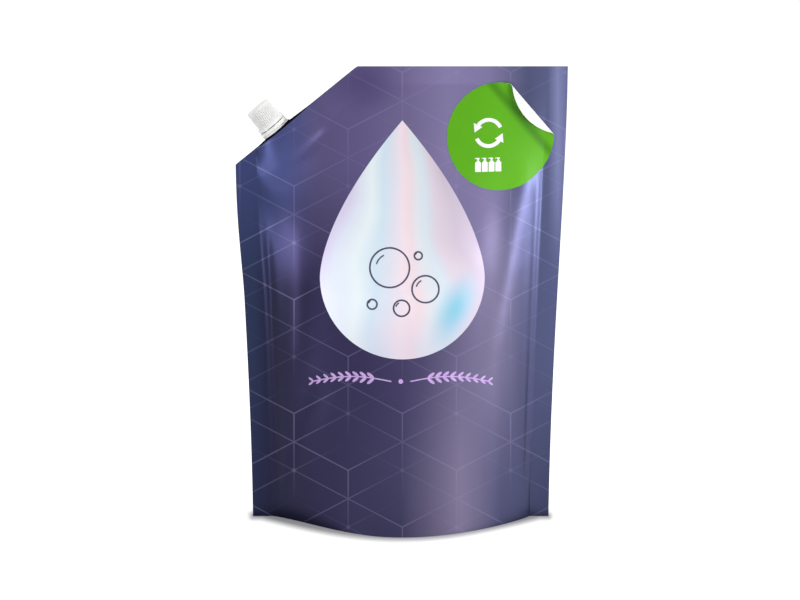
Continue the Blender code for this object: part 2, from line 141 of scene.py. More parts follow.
print("stage 1: film pouch")
pouch = {
    "width": 0.210,            # flat, seal edge to seal edge
    "height": 0.300,
    "shoulderAcross": 0.0775,  # the cut corner
    "shoulderDown": 0.063,
    "sideSeal": 0.0135,
    "topSeal": 0.012,
    "shoulderSeal": 0.016,
    "edgeThickness": 0.0005,   # the two laminates at a sealed edge
    "bellyDepth": 0.0300,
    "bellyPower": 0.9,
    "footFlare": 0.0100,
    "flareHeight": 0.025,
    "footPowerLeft": 1.25,
    "footPowerRight": 0.85,
    "lensPower": 2.2,
    "shoulderReach": 0.055,
    "sideDrawIn": 0.84,
    "stiffReach": 0.090,
    "skirt": 0.0007,
    "gussetMiddle": 0.0035,
    "gussetSideRise": 0.0015,
    "gussetSealPower": 10,
    "restAlong": 0.45,
    "restAcross": 0.45,
    "spoutAlong": 0.0345,
    "swell": 0.0078,
    "swellHalfLength": 0.0325,
    "swellPower": 1.7,
    "swellStart": 0.0153,
    "swellFade": 0.0400,
    "swellSealPower": 24,
    "tabRise": 0.0009,         # the film that stands up round the weld base
    "tabHalfLength": 0.0092,
    "tabEnd": 0.0005,
    "foldFade": 0.030,
    "foldFullAt": 0.003,
    "columns": 190,
    "rows": 210,
    "gussetRows": 16,
    "waveSize": 0.045,         # the lazy waves of a filled film
    "waveDepth": 0.00035,
    "wrinkleSize": 0.011,
    "wrinkleDepth": 0.00007,
    "looseEdge": 0.06,         # share of the half width in which the waves set in
    "columnCrowding": 0.45,
    "rowCrowding": 0.05,
    "sideBlend": 0.0006,       # depth in which the front's print gives way to the back's
    "smoothAngle": 40,
}

halfWidth = pouch["width"] / 2
innerHalf = halfWidth - pouch["sideSeal"]
shoulderZ = pouch["height"] - pouch["shoulderDown"]
shoulderAngle = math.atan2(pouch["shoulderDown"], pouch["shoulderAcross"])
edgeX, edgeZ = math.cos(shoulderAngle), math.sin(shoulderAngle)
spoutX = -halfWidth + edgeX * pouch["spoutAlong"]
spoutZ = shoulderZ + edgeZ * pouch["spoutAlong"]

# Folds: (across, height) at the foot and the head, depth out of the film, half width.
solidFolds = {
    "rightSealValley": ((0.0885, 0.030), (0.0895, 0.230), -0.0011, 0.0022),
    "leftSealValley": ((-0.0870, 0.020), (-0.0880, 0.195), -0.0012, 0.0034),
    "rightRidge": ((0.0640, 0.110), (0.0805, 0.235), 0.0016, 0.0090),
    "leftRidge": ((-0.0735, 0.105), (-0.0640, 0.205), 0.0013, 0.0085),
    "rightFootPleat": ((0.0760, 0.022), (0.0650, 0.100), -0.0011, 0.0055),
    "leftFootPleat": ((-0.0790, 0.022), (-0.0560, 0.090), -0.0012, 0.0060),
}
frontFolds = {
    "rightSealRidge": ((0.0912, 0.020), (0.0925, 0.215), 0.0006, 0.0011),
    "rightSealBulge": ((0.0850, 0.070), (0.0858, 0.120), 0.0006, 0.0028),
    "leftSealRidge": ((-0.0912, 0.020), (-0.0915, 0.200), 0.0004, 0.0012),
}
backFolds = {
    "centreDent": ((0.0420, 0.080), (0.0300, 0.150), -0.0012, 0.0120),
    "lowCrease": ((-0.0380, 0.030), (-0.0500, 0.095), -0.0009, 0.0045),
    "sealRidge": ((0.0912, 0.020), (0.0925, 0.215), 0.0005, 0.0011),
}
shoulderGroove = {
    "inset": 0.0045,
    "depth": 0.0010,
    "half": 0.0035,
    "start": -0.012,
    "end": 0.060,
    "fade": 0.018,
}


def topHeight(across):
    slope = pouch["shoulderDown"] / pouch["shoulderAcross"]
    edge = np.minimum(pouch["height"], shoulderZ + (across + halfWidth) * slope)
    along = np.abs(across - spoutX) / edgeX
    tab = np.clip((pouch["tabHalfLength"] + pouch["tabEnd"] - along) / pouch["tabEnd"], 0.0, 1.0)
    return edge + tab * pouch["tabRise"] / edgeX


def bellyDepth(height):
    share = np.minimum(height / (pouch["height"] - pouch["topSeal"]), 1.0)
    return pouch["bellyDepth"] * (1.0 - share ** 2) ** pouch["bellyPower"]


def widthAt(across, height):
    draw = pouch["sideDrawIn"] * bellyDepth(height) ** 2 / halfWidth
    stiff = smooth((shoulderZ - height) / pouch["stiffReach"])
    return halfWidth - np.where(across < 0.0, draw * stiff, draw)


def edgePlace(across, height):
    right, up = across - spoutX, height - spoutZ
    return right * edgeX + up * edgeZ, -right * edgeZ + up * edgeX


def foldRelief(folds, across, height):
    relief = np.zeros_like(across)
    for (footAcross, foot), (headAcross, head), depth, half in folds.values():
        share = np.clip((height - foot) / (head - foot), 0.0, 1.0)
        centre = footAcross + (headAcross - footAcross) * share
        ends = smooth((height - foot) / pouch["foldFade"] + 0.5)
        ends = ends * smooth((head - height) / pouch["foldFade"] + 0.5)
        relief += depth * ends * np.exp(-((across - centre) / half) ** 2)
    return relief


def grooveRelief(across, height):
    along, out = edgePlace(across, height)
    ends = smooth((along - shoulderGroove["start"]) / shoulderGroove["fade"])
    ends = ends * smooth((shoulderGroove["end"] - along) / shoulderGroove["fade"])
    inside = -out - pouch["shoulderSeal"] - shoulderGroove["inset"]
    return -shoulderGroove["depth"] * ends * np.exp(-(inside / shoulderGroove["half"]) ** 2)


def filmHalf(across, height):
    share = np.minimum(np.abs(across) / innerHalf, 1.0)
    lens = 1.0 - share ** pouch["lensPower"]
    power = np.where(across < 0.0, pouch["footPowerLeft"], pouch["footPowerRight"])
    foot = np.maximum(0.0, np.cos(math.pi / 2 * share)) ** power
    nearFloor = np.exp(-height / pouch["flareHeight"])
    section = lens * (1.0 - nearFloor) + foot * nearFloor
    depth = bellyDepth(height) * section + pouch["footFlare"] * nearFloor * foot
    along, out = edgePlace(across, height)
    reach = np.clip((-out - pouch["shoulderSeal"]) / pouch["shoulderReach"], 0.0, 1.0)
    filled = depth * (1.0 - (1.0 - reach) ** pouch["lensPower"])
    bow = np.maximum(0.0, 1.0 - (along / pouch["swellHalfLength"]) ** 2) ** pouch["swellPower"]
    fade = 1.0 - smooth((-out - pouch["swellStart"]) / pouch["swellFade"])
    swell = pouch["swell"] * bow * fade * (1.0 - share ** pouch["swellSealPower"])
    return np.hypot(filled, swell), share


def softNoise(sideways, height, size, seed):
    values = np.empty(len(sideways))
    for index, (x, z) in enumerate(zip(sideways, height)):
        values[index] = noise.noise(Vector((x / size, seed, z / size)))
    return values


def filmSurface(across, height, side):
    full, share = filmHalf(across, height)
    sideways = across * widthAt(across, height) / halfWidth
    fine = frontFolds if side < 0 else backFolds
    relief = foldRelief(solidFolds, across, height) + grooveRelief(across, height)
    relief = relief + foldRelief(fine, across, height)
    loose = smooth((1.0 - share) / pouch["looseEdge"])
    waves = pouch["waveDepth"] * softNoise(sideways, height, pouch["waveSize"], 3.0 * side)
    waves = waves + pouch["wrinkleDepth"] * softNoise(sideways, height, pouch["wrinkleSize"], 7.0 * side)
    full = full + (relief + waves * loose) * smooth(full / pouch["foldFullAt"])
    return sideways, side * (pouch["edgeThickness"] / 2 + np.maximum(full, 0.0))


def filmColumns(count):
    edge = pouch["edgeThickness"] / 2
    share = np.linspace(-1.0, 1.0, count - 2)
    share = share + pouch["columnCrowding"] * np.sin(math.pi * share) / math.pi
    places = share * (halfWidth - edge)
    tabReach = pouch["tabHalfLength"] * edgeX
    tabEnd = (pouch["tabHalfLength"] + pouch["tabEnd"]) * edgeX
    tabs = [spoutX + reach for reach in (-tabEnd, -tabReach, tabReach, tabEnd)]
    for keep in tabs + [-innerHalf, innerHalf]:
        places[np.argmin(np.abs(places - keep))] = keep
    return np.concatenate(([-halfWidth], np.sort(places), [halfWidth]))


def filmSheet(name, side):
    bpy.ops.mesh.primitive_grid_add(x_subdivisions=pouch["columns"], y_subdivisions=pouch["rows"], size=2)
    sheet = bpy.context.object
    sheet.name = name
    spots = readSpots(sheet.data)
    columnCount = len(np.unique(np.round(spots[:, 0], 4)))
    rowCount = len(np.unique(np.round(spots[:, 1], 4)))
    column = np.rint((spots[:, 0] + 1) / 2 * (columnCount - 1)).astype(int)
    row = np.rint((spots[:, 1] + 1) / 2 * (rowCount - 1)).astype(int)
    across = filmColumns(columnCount)[column]
    onEdge = (column == 0) | (column == columnCount - 1)
    floor = np.zeros_like(across)

    top = topHeight(across)
    bodyRows = rowCount - pouch["gussetRows"] - 2
    share = np.clip((row - pouch["gussetRows"] - 1) / (bodyRows - 1), 0.0, 1.0)
    share = share - pouch["rowCrowding"] * np.sin(2 * math.pi * share) / math.pi
    height = share * (top - pouch["edgeThickness"] / 2)
    height = np.where(row == rowCount - 1, top, height)
    x, y = filmSurface(across, height, side)

    rimShare = np.minimum(np.abs(across) / innerHalf, 1.0)
    rise = pouch["gussetMiddle"] + pouch["gussetSideRise"] * rimShare ** 2
    rise = rise * (1.0 - rimShare ** pouch["gussetSealPower"])
    rimX, rimY = filmSurface(across, floor, side)
    upperY = filmSurface(across, rise, side)[1]
    skirt = np.minimum(pouch["skirt"], np.abs(rimY) / 2)
    low = rise * smooth((rimShare - pouch["restAlong"]) / (1.0 - pouch["restAlong"]))
    part = np.clip(row / (pouch["gussetRows"] - 1), 0.0, 1.0)
    lift = smooth((part - pouch["restAcross"]) / (1.0 - pouch["restAcross"]))
    gussetY = side * (np.abs(upperY) - skirt) * part
    gussetZ = low + (rise - low) * lift
    inGusset = row < pouch["gussetRows"]
    onRim = row == pouch["gussetRows"]
    sealed = (rimShare >= 1.0) & (inGusset | onRim)

    x = np.where(inGusset | onRim, rimX, x)
    y = np.where(inGusset, gussetY, np.where(onRim, side * (np.abs(rimY) - skirt), y))
    height = np.where(inGusset, gussetZ, np.where(onRim, 0.0, height))
    y = np.where(sealed, np.where(row == 0, 0.0, rimY), y)
    height = np.where(sealed, 0.0, height)
    y = np.where(onEdge | (row == rowCount - 1), 0.0, y)

    sheet.data.vertices.foreach_set("co", np.stack((x, y, height), axis=1).ravel())
    sheet.data.update()
    return sheet


def paintPrintMap(piece):
    mesh = piece.data
    spots = readSpots(mesh)
    behind = np.clip(spots[:, 1] / pouch["sideBlend"] + 0.5, 0.0, 1.0)
    side = mesh.attributes.new("backSide", "FLOAT", "POINT")
    side.data.foreach_set("value", behind.astype(np.float32))
    # The artwork is laid on square to a shopper who looks slightly down at the front, and at the back alike.
    forward = -np.abs(spots[:, 1])
    away = viewDistance + forward * math.cos(viewDown) - (spots[:, 2] - viewAim) * math.sin(viewDown)
    up = forward * math.sin(viewDown) + (spots[:, 2] - viewAim) * math.cos(viewDown)
    topAway = viewDistance - (pouch["height"] - viewAim) * math.sin(viewDown)
    printU = spots[:, 0] * topAway / away
    printV = up * topAway / away + printFootOffset
    layer = mesh.uv_layers.new(name="print")
    loops = np.empty(len(mesh.loops), dtype=np.int32)
    mesh.loops.foreach_get("vertex_index", loops)
    flat = np.stack((printU[loops], printV[loops]), axis=1).ravel()
    layer.data.foreach_set("uv", flat.astype(np.float32))


viewDistance = 1.5           # a shopper's eye, and the camera below, in metres from the pack
viewDown = math.radians(15.0)
viewAim = 0.1479
printFootOffset = 0.1367     # lifts the print's zero to the foot of the side seals

deselectAll()
frontSheet = filmSheet("pouchFilm", -1)
backSheet = filmSheet("pouchBack", 1)
pickOnly(frontSheet, backSheet)
bpy.ops.object.join()
pouchFilm = bpy.context.object
bpy.ops.object.mode_set(mode="EDIT")
bpy.ops.mesh.select_all(action="SELECT")
bpy.ops.mesh.remove_doubles(threshold=weldGap)
bpy.ops.mesh.dissolve_degenerate(threshold=0.0000001)
bpy.ops.mesh.normals_make_consistent(inside=False)
bpy.ops.object.mode_set(mode="OBJECT")
bpy.ops.object.shade_smooth_by_angle(angle=math.radians(pouch["smoothAngle"]))
paintPrintMap(pouchFilm)
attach(pouchFilm, "pack")
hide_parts("pouch")


print("stage 2: printed film")
artwork = {
    "columnMm": 34.03,         # spacing of the upright lines
    "stepMm": 17.86,           # a quarter of a cube's height
    "middleMm": 0.97,          # the middle upright line
    "topNodeMm": 279.7,        # its highest three-way corner
    "lineMm": 0.60,
    "lineStrength": 0.15,
    "dotMm": 2.2,
    "dropRadiusMm": 51.9,
    "dropCentreMm": 151.3,
    "dropTipMm": 98.4,
    "dropPower": 1.62,
    "edgeMm": 0.25,
    "fadeSteps": 4.0,          # lattice steps from one start of a line's fade to the next
    "slantFadeEnd": 3.0,
    "uprightFadeEnd": 3.05,
    "columnShift": 2.0,        # steps from one upright's corners to its neighbour's
    "dotStep": 2.0,
    "dotStrength": 0.8,
    "patchRange": (0.55, 1.2),  # least and most of a line's strength
    "crownMm": (135.0, 235.0),  # heights between which the body's tone turns into the crown's
    "footMm": (125.0, 5.0),
    "fanFootMm": -10.0,        # the bands spread from the tip down to here
    "fanTipShare": 0.35,
    "bandsHalfMm": 55.0,
    "swayMm": 7.0,             # how far the drop's soft bands wander
    "cyanPatch": ((34.0, 130.0), (15.0, 33.0), -24.0, 0.97),  # centre, size, turn and strength
    "lowShadeMm": (140.0, 98.0),  # the drop darkens a little towards its foot
    "lowShadeShare": 0.38,
    "cutEdgeShade": (0.0001, 0.00024, 0.7),  # where the painted dark edge line starts and ends off the middle, and its strength
    "tabShadow": (0.0004, 0.0002),  # painted shadow under the flange, below the tab's top edge
    "metallic": 0.75,
    "specular": 0.5,
    "sheenAndDarkSpots": [             # centre, size, strength and colour: a darker patch high on the left, and painted highlights on the left and right flanks
        ((-24.0, 274.0), (34.0, 26.0), 0.75, "#423965"),
        ((-67.0, 174.0), (17.0, 34.0), 0.42, "#544d7c"),
        ((58.0, 172.0), (10.0, 30.0), 0.50, "#8a84a8"),
    ],
}


def satinLaminate():
    material, tree, shader = newMaterial("satinMetallisedLaminate")
    place = addNode(tree, "ShaderNodeUVMap", {"uv_map": "print"})
    inMm = addNode(tree, "ShaderNodeVectorMath", {"operation": "SCALE"}, {0: place, "Scale": 1000.0})
    parts = addNode(tree, "ShaderNodeSeparateXYZ", None, {0: inMm})
    u, v = parts.outputs[0], parts.outputs[1]
    back = addNode(tree, "ShaderNodeAttribute", {"attribute_name": "backSide"})
    front = addNode(tree, "ShaderNodeMath", {"operation": "SUBTRACT"}, {0: 1.0, 1: back.outputs["Fac"]})

    # Body tone, partly print and partly painted light: violet print with blue-grey side seals, lighter
    # towards the crown and darker at the foot; painted shade darkens the left, and painted sheen lightens the
    # right flank and the right seal.
    acrossShare = addNode(tree, "ShaderNodeMapRange", None,
                          {"Value": u, "From Min": -1000 * halfWidth, "From Max": 1000 * halfWidth})
    body = addNode(tree, "ShaderNodeValToRGB", None, {0: acrossShare})
    setRamp(body, [(0.0, "#202948"), (0.06, "#1c2745"), (0.10, "#161735"), (0.16, "#161432"),
                   (0.24, "#211c3e"), (0.40, "#2e284c"), (0.56, "#403a5f"), (0.70, "#615b7b"),
                   (0.78, "#706a88"), (0.86, "#4b4b6b"), (0.92, "#474c6f"), (1.0, "#484f77")])
    crown = addNode(tree, "ShaderNodeValToRGB", None, {0: acrossShare})
    setRamp(crown, [(0.0, "#333b69"), (0.08, "#303863"), (0.16, "#41487a"), (0.26, "#534b74"),
                    (0.38, "#5c5480"), (0.52, "#6a618a"), (0.64, "#7c739d"), (0.76, "#746d95"),
                    (0.88, "#474b6c"), (0.94, "#4e5377"), (0.97, "#71769f"), (1.0, "#575c84")])
    foot = addNode(tree, "ShaderNodeValToRGB", None, {0: acrossShare})
    setRamp(foot, [(0.0, "#1b2243"), (0.12, "#131431"), (0.30, "#232040"), (0.50, "#363354"),
                   (0.68, "#6d6581"), (0.80, "#404162"), (1.0, "#2c324f")])
    crownShare = addNode(tree, "ShaderNodeMapRange", {"interpolation_type": "SMOOTHSTEP"},
                         {"Value": v, "From Min": artwork["crownMm"][0], "From Max": artwork["crownMm"][1]})
    footShare = addNode(tree, "ShaderNodeMapRange", {"interpolation_type": "SMOOTHSTEP"},
                        {"Value": v, "From Min": artwork["footMm"][0], "From Max": artwork["footMm"][1]})
    raised = addNode(tree, "ShaderNodeMix", {"data_type": "RGBA"},
                     {"Factor": crownShare, 6: body, 7: crown})
    tone = addNode(tree, "ShaderNodeMix", {"data_type": "RGBA"},
                   {"Factor": footShare, 6: raised.outputs[2], 7: foot})
    # Painted light: two soft painted highlights on the flanks, and a darker patch high on the left, laid over
    # the tone.
    for centre, size, strength, colour in artwork["sheenAndDarkSpots"]:
        spot = softSpot(tree, inMm, centre, size, 0.0, strength)
        tone = addNode(tree, "ShaderNodeMix", {"data_type": "RGBA"},
                       {"Factor": spot, 6: tone.outputs[2], 7: hexColour(colour)})

    # Cube lattice: three families of fine lines that fade along their run, with a soft dot on each upright.
    offsetU = addNode(tree, "ShaderNodeMath", {"operation": "SUBTRACT"}, {0: u, 1: artwork["middleMm"]})
    column = addNode(tree, "ShaderNodeMath", {"operation": "DIVIDE"}, {0: offsetU, 1: artwork["columnMm"]})
    below = addNode(tree, "ShaderNodeMath", {"operation": "SUBTRACT"}, {0: artwork["topNodeMm"], 1: v})
    step = addNode(tree, "ShaderNodeMath", {"operation": "DIVIDE"}, {0: below, 1: artwork["stepMm"]})
    slope = math.cos(math.atan2(artwork["stepMm"], artwork["columnMm"]))
    families = []
    for way in ("SUBTRACT", "ADD"):
        across = addNode(tree, "ShaderNodeMath", {"operation": way}, {0: step, 1: column})
        line = addNode(tree, "ShaderNodeMath", {"operation": "ROUND"}, {0: across})
        off = addNode(tree, "ShaderNodeMath", {"operation": "SUBTRACT"}, {0: across, 1: line})
        gap = addNode(tree, "ShaderNodeMath", {"operation": "ABSOLUTE"}, {0: off})
        ink = addNode(tree, "ShaderNodeMapRange", None,
                      {"Value": gap, "From Max": artwork["lineMm"] / (artwork["stepMm"] * slope),
                       "To Min": 1.0, "To Max": 0.0})
        run = addNode(tree, "ShaderNodeMath", {"operation": way}, {0: line, 1: column})
        phase = addNode(tree, "ShaderNodeMath", {"operation": "FLOORED_MODULO"},
                        {0: run, 1: artwork["fadeSteps"]})
        fade = addNode(tree, "ShaderNodeMapRange", None,
                       {"Value": phase, "From Max": artwork["slantFadeEnd"], "To Min": 1.0, "To Max": 0.0})
        family = addNode(tree, "ShaderNodeMath", {"operation": "MULTIPLY"}, {0: ink, 1: fade})
        families.append(family.outputs[0])
    upright = addNode(tree, "ShaderNodeMath", {"operation": "ROUND"}, {0: column})
    aside = addNode(tree, "ShaderNodeMath", {"operation": "SUBTRACT"}, {0: column, 1: upright})
    asideMm = addNode(tree, "ShaderNodeMath", {"operation": "MULTIPLY"}, {0: aside, 1: artwork["columnMm"]})
    asideGap = addNode(tree, "ShaderNodeMath", {"operation": "ABSOLUTE"}, {0: asideMm})
    uprightInk = addNode(tree, "ShaderNodeMapRange", None,
                         {"Value": asideGap, "From Max": artwork["lineMm"], "To Min": 1.0, "To Max": 0.0})
    shift = addNode(tree, "ShaderNodeMath", {"operation": "MULTIPLY"},
                    {0: upright, 1: artwork["columnShift"]})
    fall = addNode(tree, "ShaderNodeMath", {"operation": "SUBTRACT"}, {0: step, 1: shift})
    uprightPhase = addNode(tree, "ShaderNodeMath", {"operation": "FLOORED_MODULO"},
                           {0: fall, 1: artwork["fadeSteps"]})
    uprightFade = addNode(tree, "ShaderNodeMapRange", None,
                          {"Value": uprightPhase, "From Max": artwork["uprightFadeEnd"],
                           "To Min": 1.0, "To Max": 0.0})
    uprightLine = addNode(tree, "ShaderNodeMath", {"operation": "MULTIPLY"},
                          {0: uprightInk, 1: uprightFade})
    dotOff = addNode(tree, "ShaderNodeMath", {"operation": "SUBTRACT"},
                     {0: uprightPhase, 1: artwork["dotStep"]})
    dotMm = addNode(tree, "ShaderNodeMath", {"operation": "MULTIPLY"}, {0: dotOff, 1: artwork["stepMm"]})
    dotWay = addNode(tree, "ShaderNodeCombineXYZ", None, {0: asideMm, 1: dotMm})
    dotGap = addNode(tree, "ShaderNodeVectorMath", {"operation": "LENGTH"}, {0: dotWay})
    dot = addNode(tree, "ShaderNodeMapRange", {"interpolation_type": "SMOOTHSTEP"},
                  {"Value": dotGap.outputs["Value"], "From Max": artwork["dotMm"],
                   "To Min": artwork["dotStrength"], "To Max": 0.0})
    ink = dot.outputs[0]
    for family in families + [uprightLine.outputs[0]]:
        ink = addNode(tree, "ShaderNodeMath", {"operation": "MAXIMUM"}, {0: ink, 1: family}).outputs[0]
    patchy = addNode(tree, "ShaderNodeTexNoise", None, {"Vector": place, "Scale": 14.0, "Detail": 1.0})
    least, most = (artwork["lineStrength"] * share for share in artwork["patchRange"])
    strength = addNode(tree, "ShaderNodeMapRange", None,
                       {"Value": patchy, "From Min": 0.35, "From Max": 0.65, "To Min": least, "To Max": most})
    lineShare = addNode(tree, "ShaderNodeMath", {"operation": "MULTIPLY"}, {0: ink, 1: strength})
    lined = addNode(tree, "ShaderNodeMix", {"data_type": "RGBA"},
                    {"Factor": lineShare, 6: tone.outputs[2], 7: hexColour("#b4aedb")})

    # Pale foil drop: a circle below its middle, a power curve up to the tip.
    above = addNode(tree, "ShaderNodeMath", {"operation": "SUBTRACT"}, {0: v, 1: artwork["dropCentreMm"]})
    upShare = addNode(tree, "ShaderNodeMapRange", None, {"Value": above, "From Max": artwork["dropTipMm"]})
    upPower = addNode(tree, "ShaderNodeMath", {"operation": "POWER"}, {0: upShare, 1: artwork["dropPower"]})
    upWidth = addNode(tree, "ShaderNodeMath", {"operation": "SUBTRACT"}, {0: 1.0, 1: upPower})
    downShare = addNode(tree, "ShaderNodeMapRange", None,
                        {"Value": above, "From Max": -artwork["dropRadiusMm"]})
    downSquare = addNode(tree, "ShaderNodeMath", {"operation": "POWER"}, {0: downShare, 1: 2.0})
    downLeft = addNode(tree, "ShaderNodeMath", {"operation": "SUBTRACT"}, {0: 1.0, 1: downSquare})
    downWidth = addNode(tree, "ShaderNodeMath", {"operation": "SQRT"}, {0: downLeft})
    width = addNode(tree, "ShaderNodeMath", {"operation": "MULTIPLY"}, {0: upWidth, 1: downWidth})
    widthMm = addNode(tree, "ShaderNodeMath", {"operation": "MULTIPLY"},
                      {0: width, 1: artwork["dropRadiusMm"]})
    asideDrop = addNode(tree, "ShaderNodeMath", {"operation": "ABSOLUTE"}, {0: offsetU})
    inside = addNode(tree, "ShaderNodeMath", {"operation": "SUBTRACT"}, {0: widthMm, 1: asideDrop})
    dropShare = addNode(tree, "ShaderNodeMapRange", None, {"Value": inside, "From Max": artwork["edgeMm"]})
    dropFront = addNode(tree, "ShaderNodeMath", {"operation": "MULTIPLY"}, {0: dropShare, 1: front})
    fan = addNode(tree, "ShaderNodeMapRange", None,
                  {"Value": above, "From Min": artwork["dropTipMm"], "From Max": artwork["fanFootMm"],
                   "To Min": artwork["fanTipShare"], "To Max": 1.0})
    fanned = addNode(tree, "ShaderNodeMath", {"operation": "DIVIDE"}, {0: offsetU, 1: fan})
    sway = addNode(tree, "ShaderNodeTexNoise", None, {"Vector": place, "Scale": 16.0, "Detail": 1.0})
    swayMm = addNode(tree, "ShaderNodeMapRange", None,
                     {"Value": sway, "From Min": 0.3, "From Max": 0.7,
                      "To Min": -artwork["swayMm"], "To Max": artwork["swayMm"]})
    swayed = addNode(tree, "ShaderNodeMath", {"operation": "ADD"}, {0: fanned, 1: swayMm})
    bandShare = addNode(tree, "ShaderNodeMapRange", None,
                        {"Value": swayed, "From Min": -artwork["bandsHalfMm"],
                         "From Max": artwork["bandsHalfMm"]})
    bands = addNode(tree, "ShaderNodeValToRGB", None, {0: bandShare})
    setRamp(bands, [(0.0, "#d0c9e4"), (0.08, "#d6dcea"), (0.20, "#dfe9ed"), (0.32, "#cbdce9"),
                    (0.42, "#d9d9e6"), (0.50, "#e9d9e2"), (0.57, "#e6d3db"), (0.64, "#d7dbe2"),
                    (0.72, "#cdd8e2"), (0.80, "#d3c6d3"), (0.90, "#c5b8c8"), (1.0, "#c3b6cc")])
    cyan = softSpot(tree, inMm, *artwork["cyanPatch"])
    foil = addNode(tree, "ShaderNodeMix", {"data_type": "RGBA"},
                   {"Factor": cyan, 6: bands, 7: hexColour("#80bfd6")})
    lowShare = addNode(tree, "ShaderNodeMapRange", {"interpolation_type": "SMOOTHSTEP"},
                       {"Value": v, "From Min": artwork["lowShadeMm"][0],
                        "From Max": artwork["lowShadeMm"][1], "To Max": artwork["lowShadeShare"]})
    shaded = addNode(tree, "ShaderNodeMix", {"data_type": "RGBA"},
                     {"Factor": lowShare, 6: foil.outputs[2], 7: hexColour("#b3adc2")})
    finished = addNode(tree, "ShaderNodeMix", {"data_type": "RGBA"},
                       {"Factor": dropFront, 6: lined.outputs[2], 7: shaded.outputs[2]})

    # The cut edges and the short tab under the spout's flange show as a thin dark line of painted shade; on
    # the tab's top it stands for the shadow under the flange.
    spot = addNode(tree, "ShaderNodeTexCoord")
    spotParts = addNode(tree, "ShaderNodeSeparateXYZ", None, {0: spot.outputs["Object"]})
    middle = addNode(tree, "ShaderNodeMath", {"operation": "ABSOLUTE"}, {0: spotParts.outputs[1]})
    edgeStart, edgeEnd, edgeStrength = artwork["cutEdgeShade"]
    cutEdgeShade = addNode(tree, "ShaderNodeMapRange", None,
                      {"Value": middle, "From Min": edgeStart, "From Max": edgeEnd,
                       "To Min": edgeStrength, "To Max": 0.0})
    outward = addNode(tree, "ShaderNodeVectorMath", {"operation": "DOT_PRODUCT"},
                      {0: spot.outputs["Object"], 1: (-edgeZ, 0.0, edgeX)})
    slantLevel = edgeX * spoutZ - edgeZ * spoutX
    tabShadow = addNode(tree, "ShaderNodeMapRange", None,
                     {"Value": outward.outputs["Value"], "From Min": slantLevel - artwork["tabShadow"][0],
                      "From Max": slantLevel - artwork["tabShadow"][1]})
    paintedDarkLine = addNode(tree, "ShaderNodeMath", {"operation": "MAXIMUM"}, {0: cutEdgeShade, 1: tabShadow})
    edged = addNode(tree, "ShaderNodeMix", {"data_type": "RGBA"},
                    {"Factor": paintedDarkLine, 6: finished.outputs[2], 7: hexColour("#12101c")})

    # Satin laminate: aluminium under a matt varnish, so broad soft sheen and a faint pebble.
    # The bare cut edge is rough film with no foil to shine; the painted shadow on the tab's top loses the
    # foil's shine too.
    metal = addNode(tree, "ShaderNodeMapRange", None,
                    {"Value": paintedDarkLine, "To Min": artwork["metallic"], "To Max": 0.0})
    gloss = addNode(tree, "ShaderNodeMapRange", None,
                    {"Value": paintedDarkLine, "To Min": artwork["specular"], "To Max": 0.0})
    feedNode(tree, shader, {"Base Color": edged.outputs[2], "Metallic": metal, "Specular IOR Level": gloss,
                            "Roughness": 0.36, "IOR": 1.5})
    # The pebble is drawn about 1 mm across, coarser than the real one, so that it shows.
    fineRelief(tree, shader, spot.outputs["Object"], 900.0, 2.0, 0.05, 0.0002)
    return material


pouchFilm.data.materials.clear()
pouchFilm.data.materials.append(satinLaminate())


print("stage 3: spout, band and cap")
turnJoint = next(joint for joint in frame["joints"] if joint["name"] == "cap_turn")
spoutAxis = Vector(turnJoint["axis"]).normalized()
spoutPlace = Vector(turnJoint["pos_m"])
spoutFrame = Matrix.Translation(spoutPlace) @ Matrix.Rotation(-math.atan2(-spoutAxis.x, spoutAxis.z), 4, "Y")

closure = {
    "neckRadius": 0.0063,
    "threadDepth": 0.00045,
    "threadStart": 0.0061,
    "threadTurns": 1.5,
    "threadLead": 0.006,
    "threadWidth": 0.0007,
    "capBase": 0.0053,
    "capTop": 0.0198,
    "capCeiling": 0.0182,
    "capBore": 0.0071,
    "capTopRadius": 0.0081,
    "capBaseRadius": 0.0086,
    "capRimRadius": 0.0095,
    "capRimHeight": 0.0026,
    "capEdge": 0.0009,
    "plugRadius": 0.0046,
    "plugWall": 0.0008,
    "plugEnd": 0.0151,
    "ribs": 40,
    "ribDepth": 0.00065,
    "stepsPerRib": 8,
    "ribNose": 1.5,            # a higher power makes the ribs wider and the valleys narrower
    "ribFoot": (0.015, 0.07),  # share of the wall where a rib starts, and its run-out
    "ribHead": (0.995, 0.05),
    "ribMargin": 0.02,
    "ribShade": 0.35,
    "edgeRound": 0.0003,
    "rimDrop": 0.0007,
    "rimNick": 0.0002,
    "boreRound": 0.0004,
    "ceilingRound": 0.0005,
    "threadSteps": 72,
    "threadRunOut": 8,         # each end runs out over an eighth of the thread
    "threadLeast": 0.02,
    "threadCrest": 0.35,
    "threadSink": 0.0002,      # how far the thread's root stands inside the neck
    "smoothAngle": 38,
}


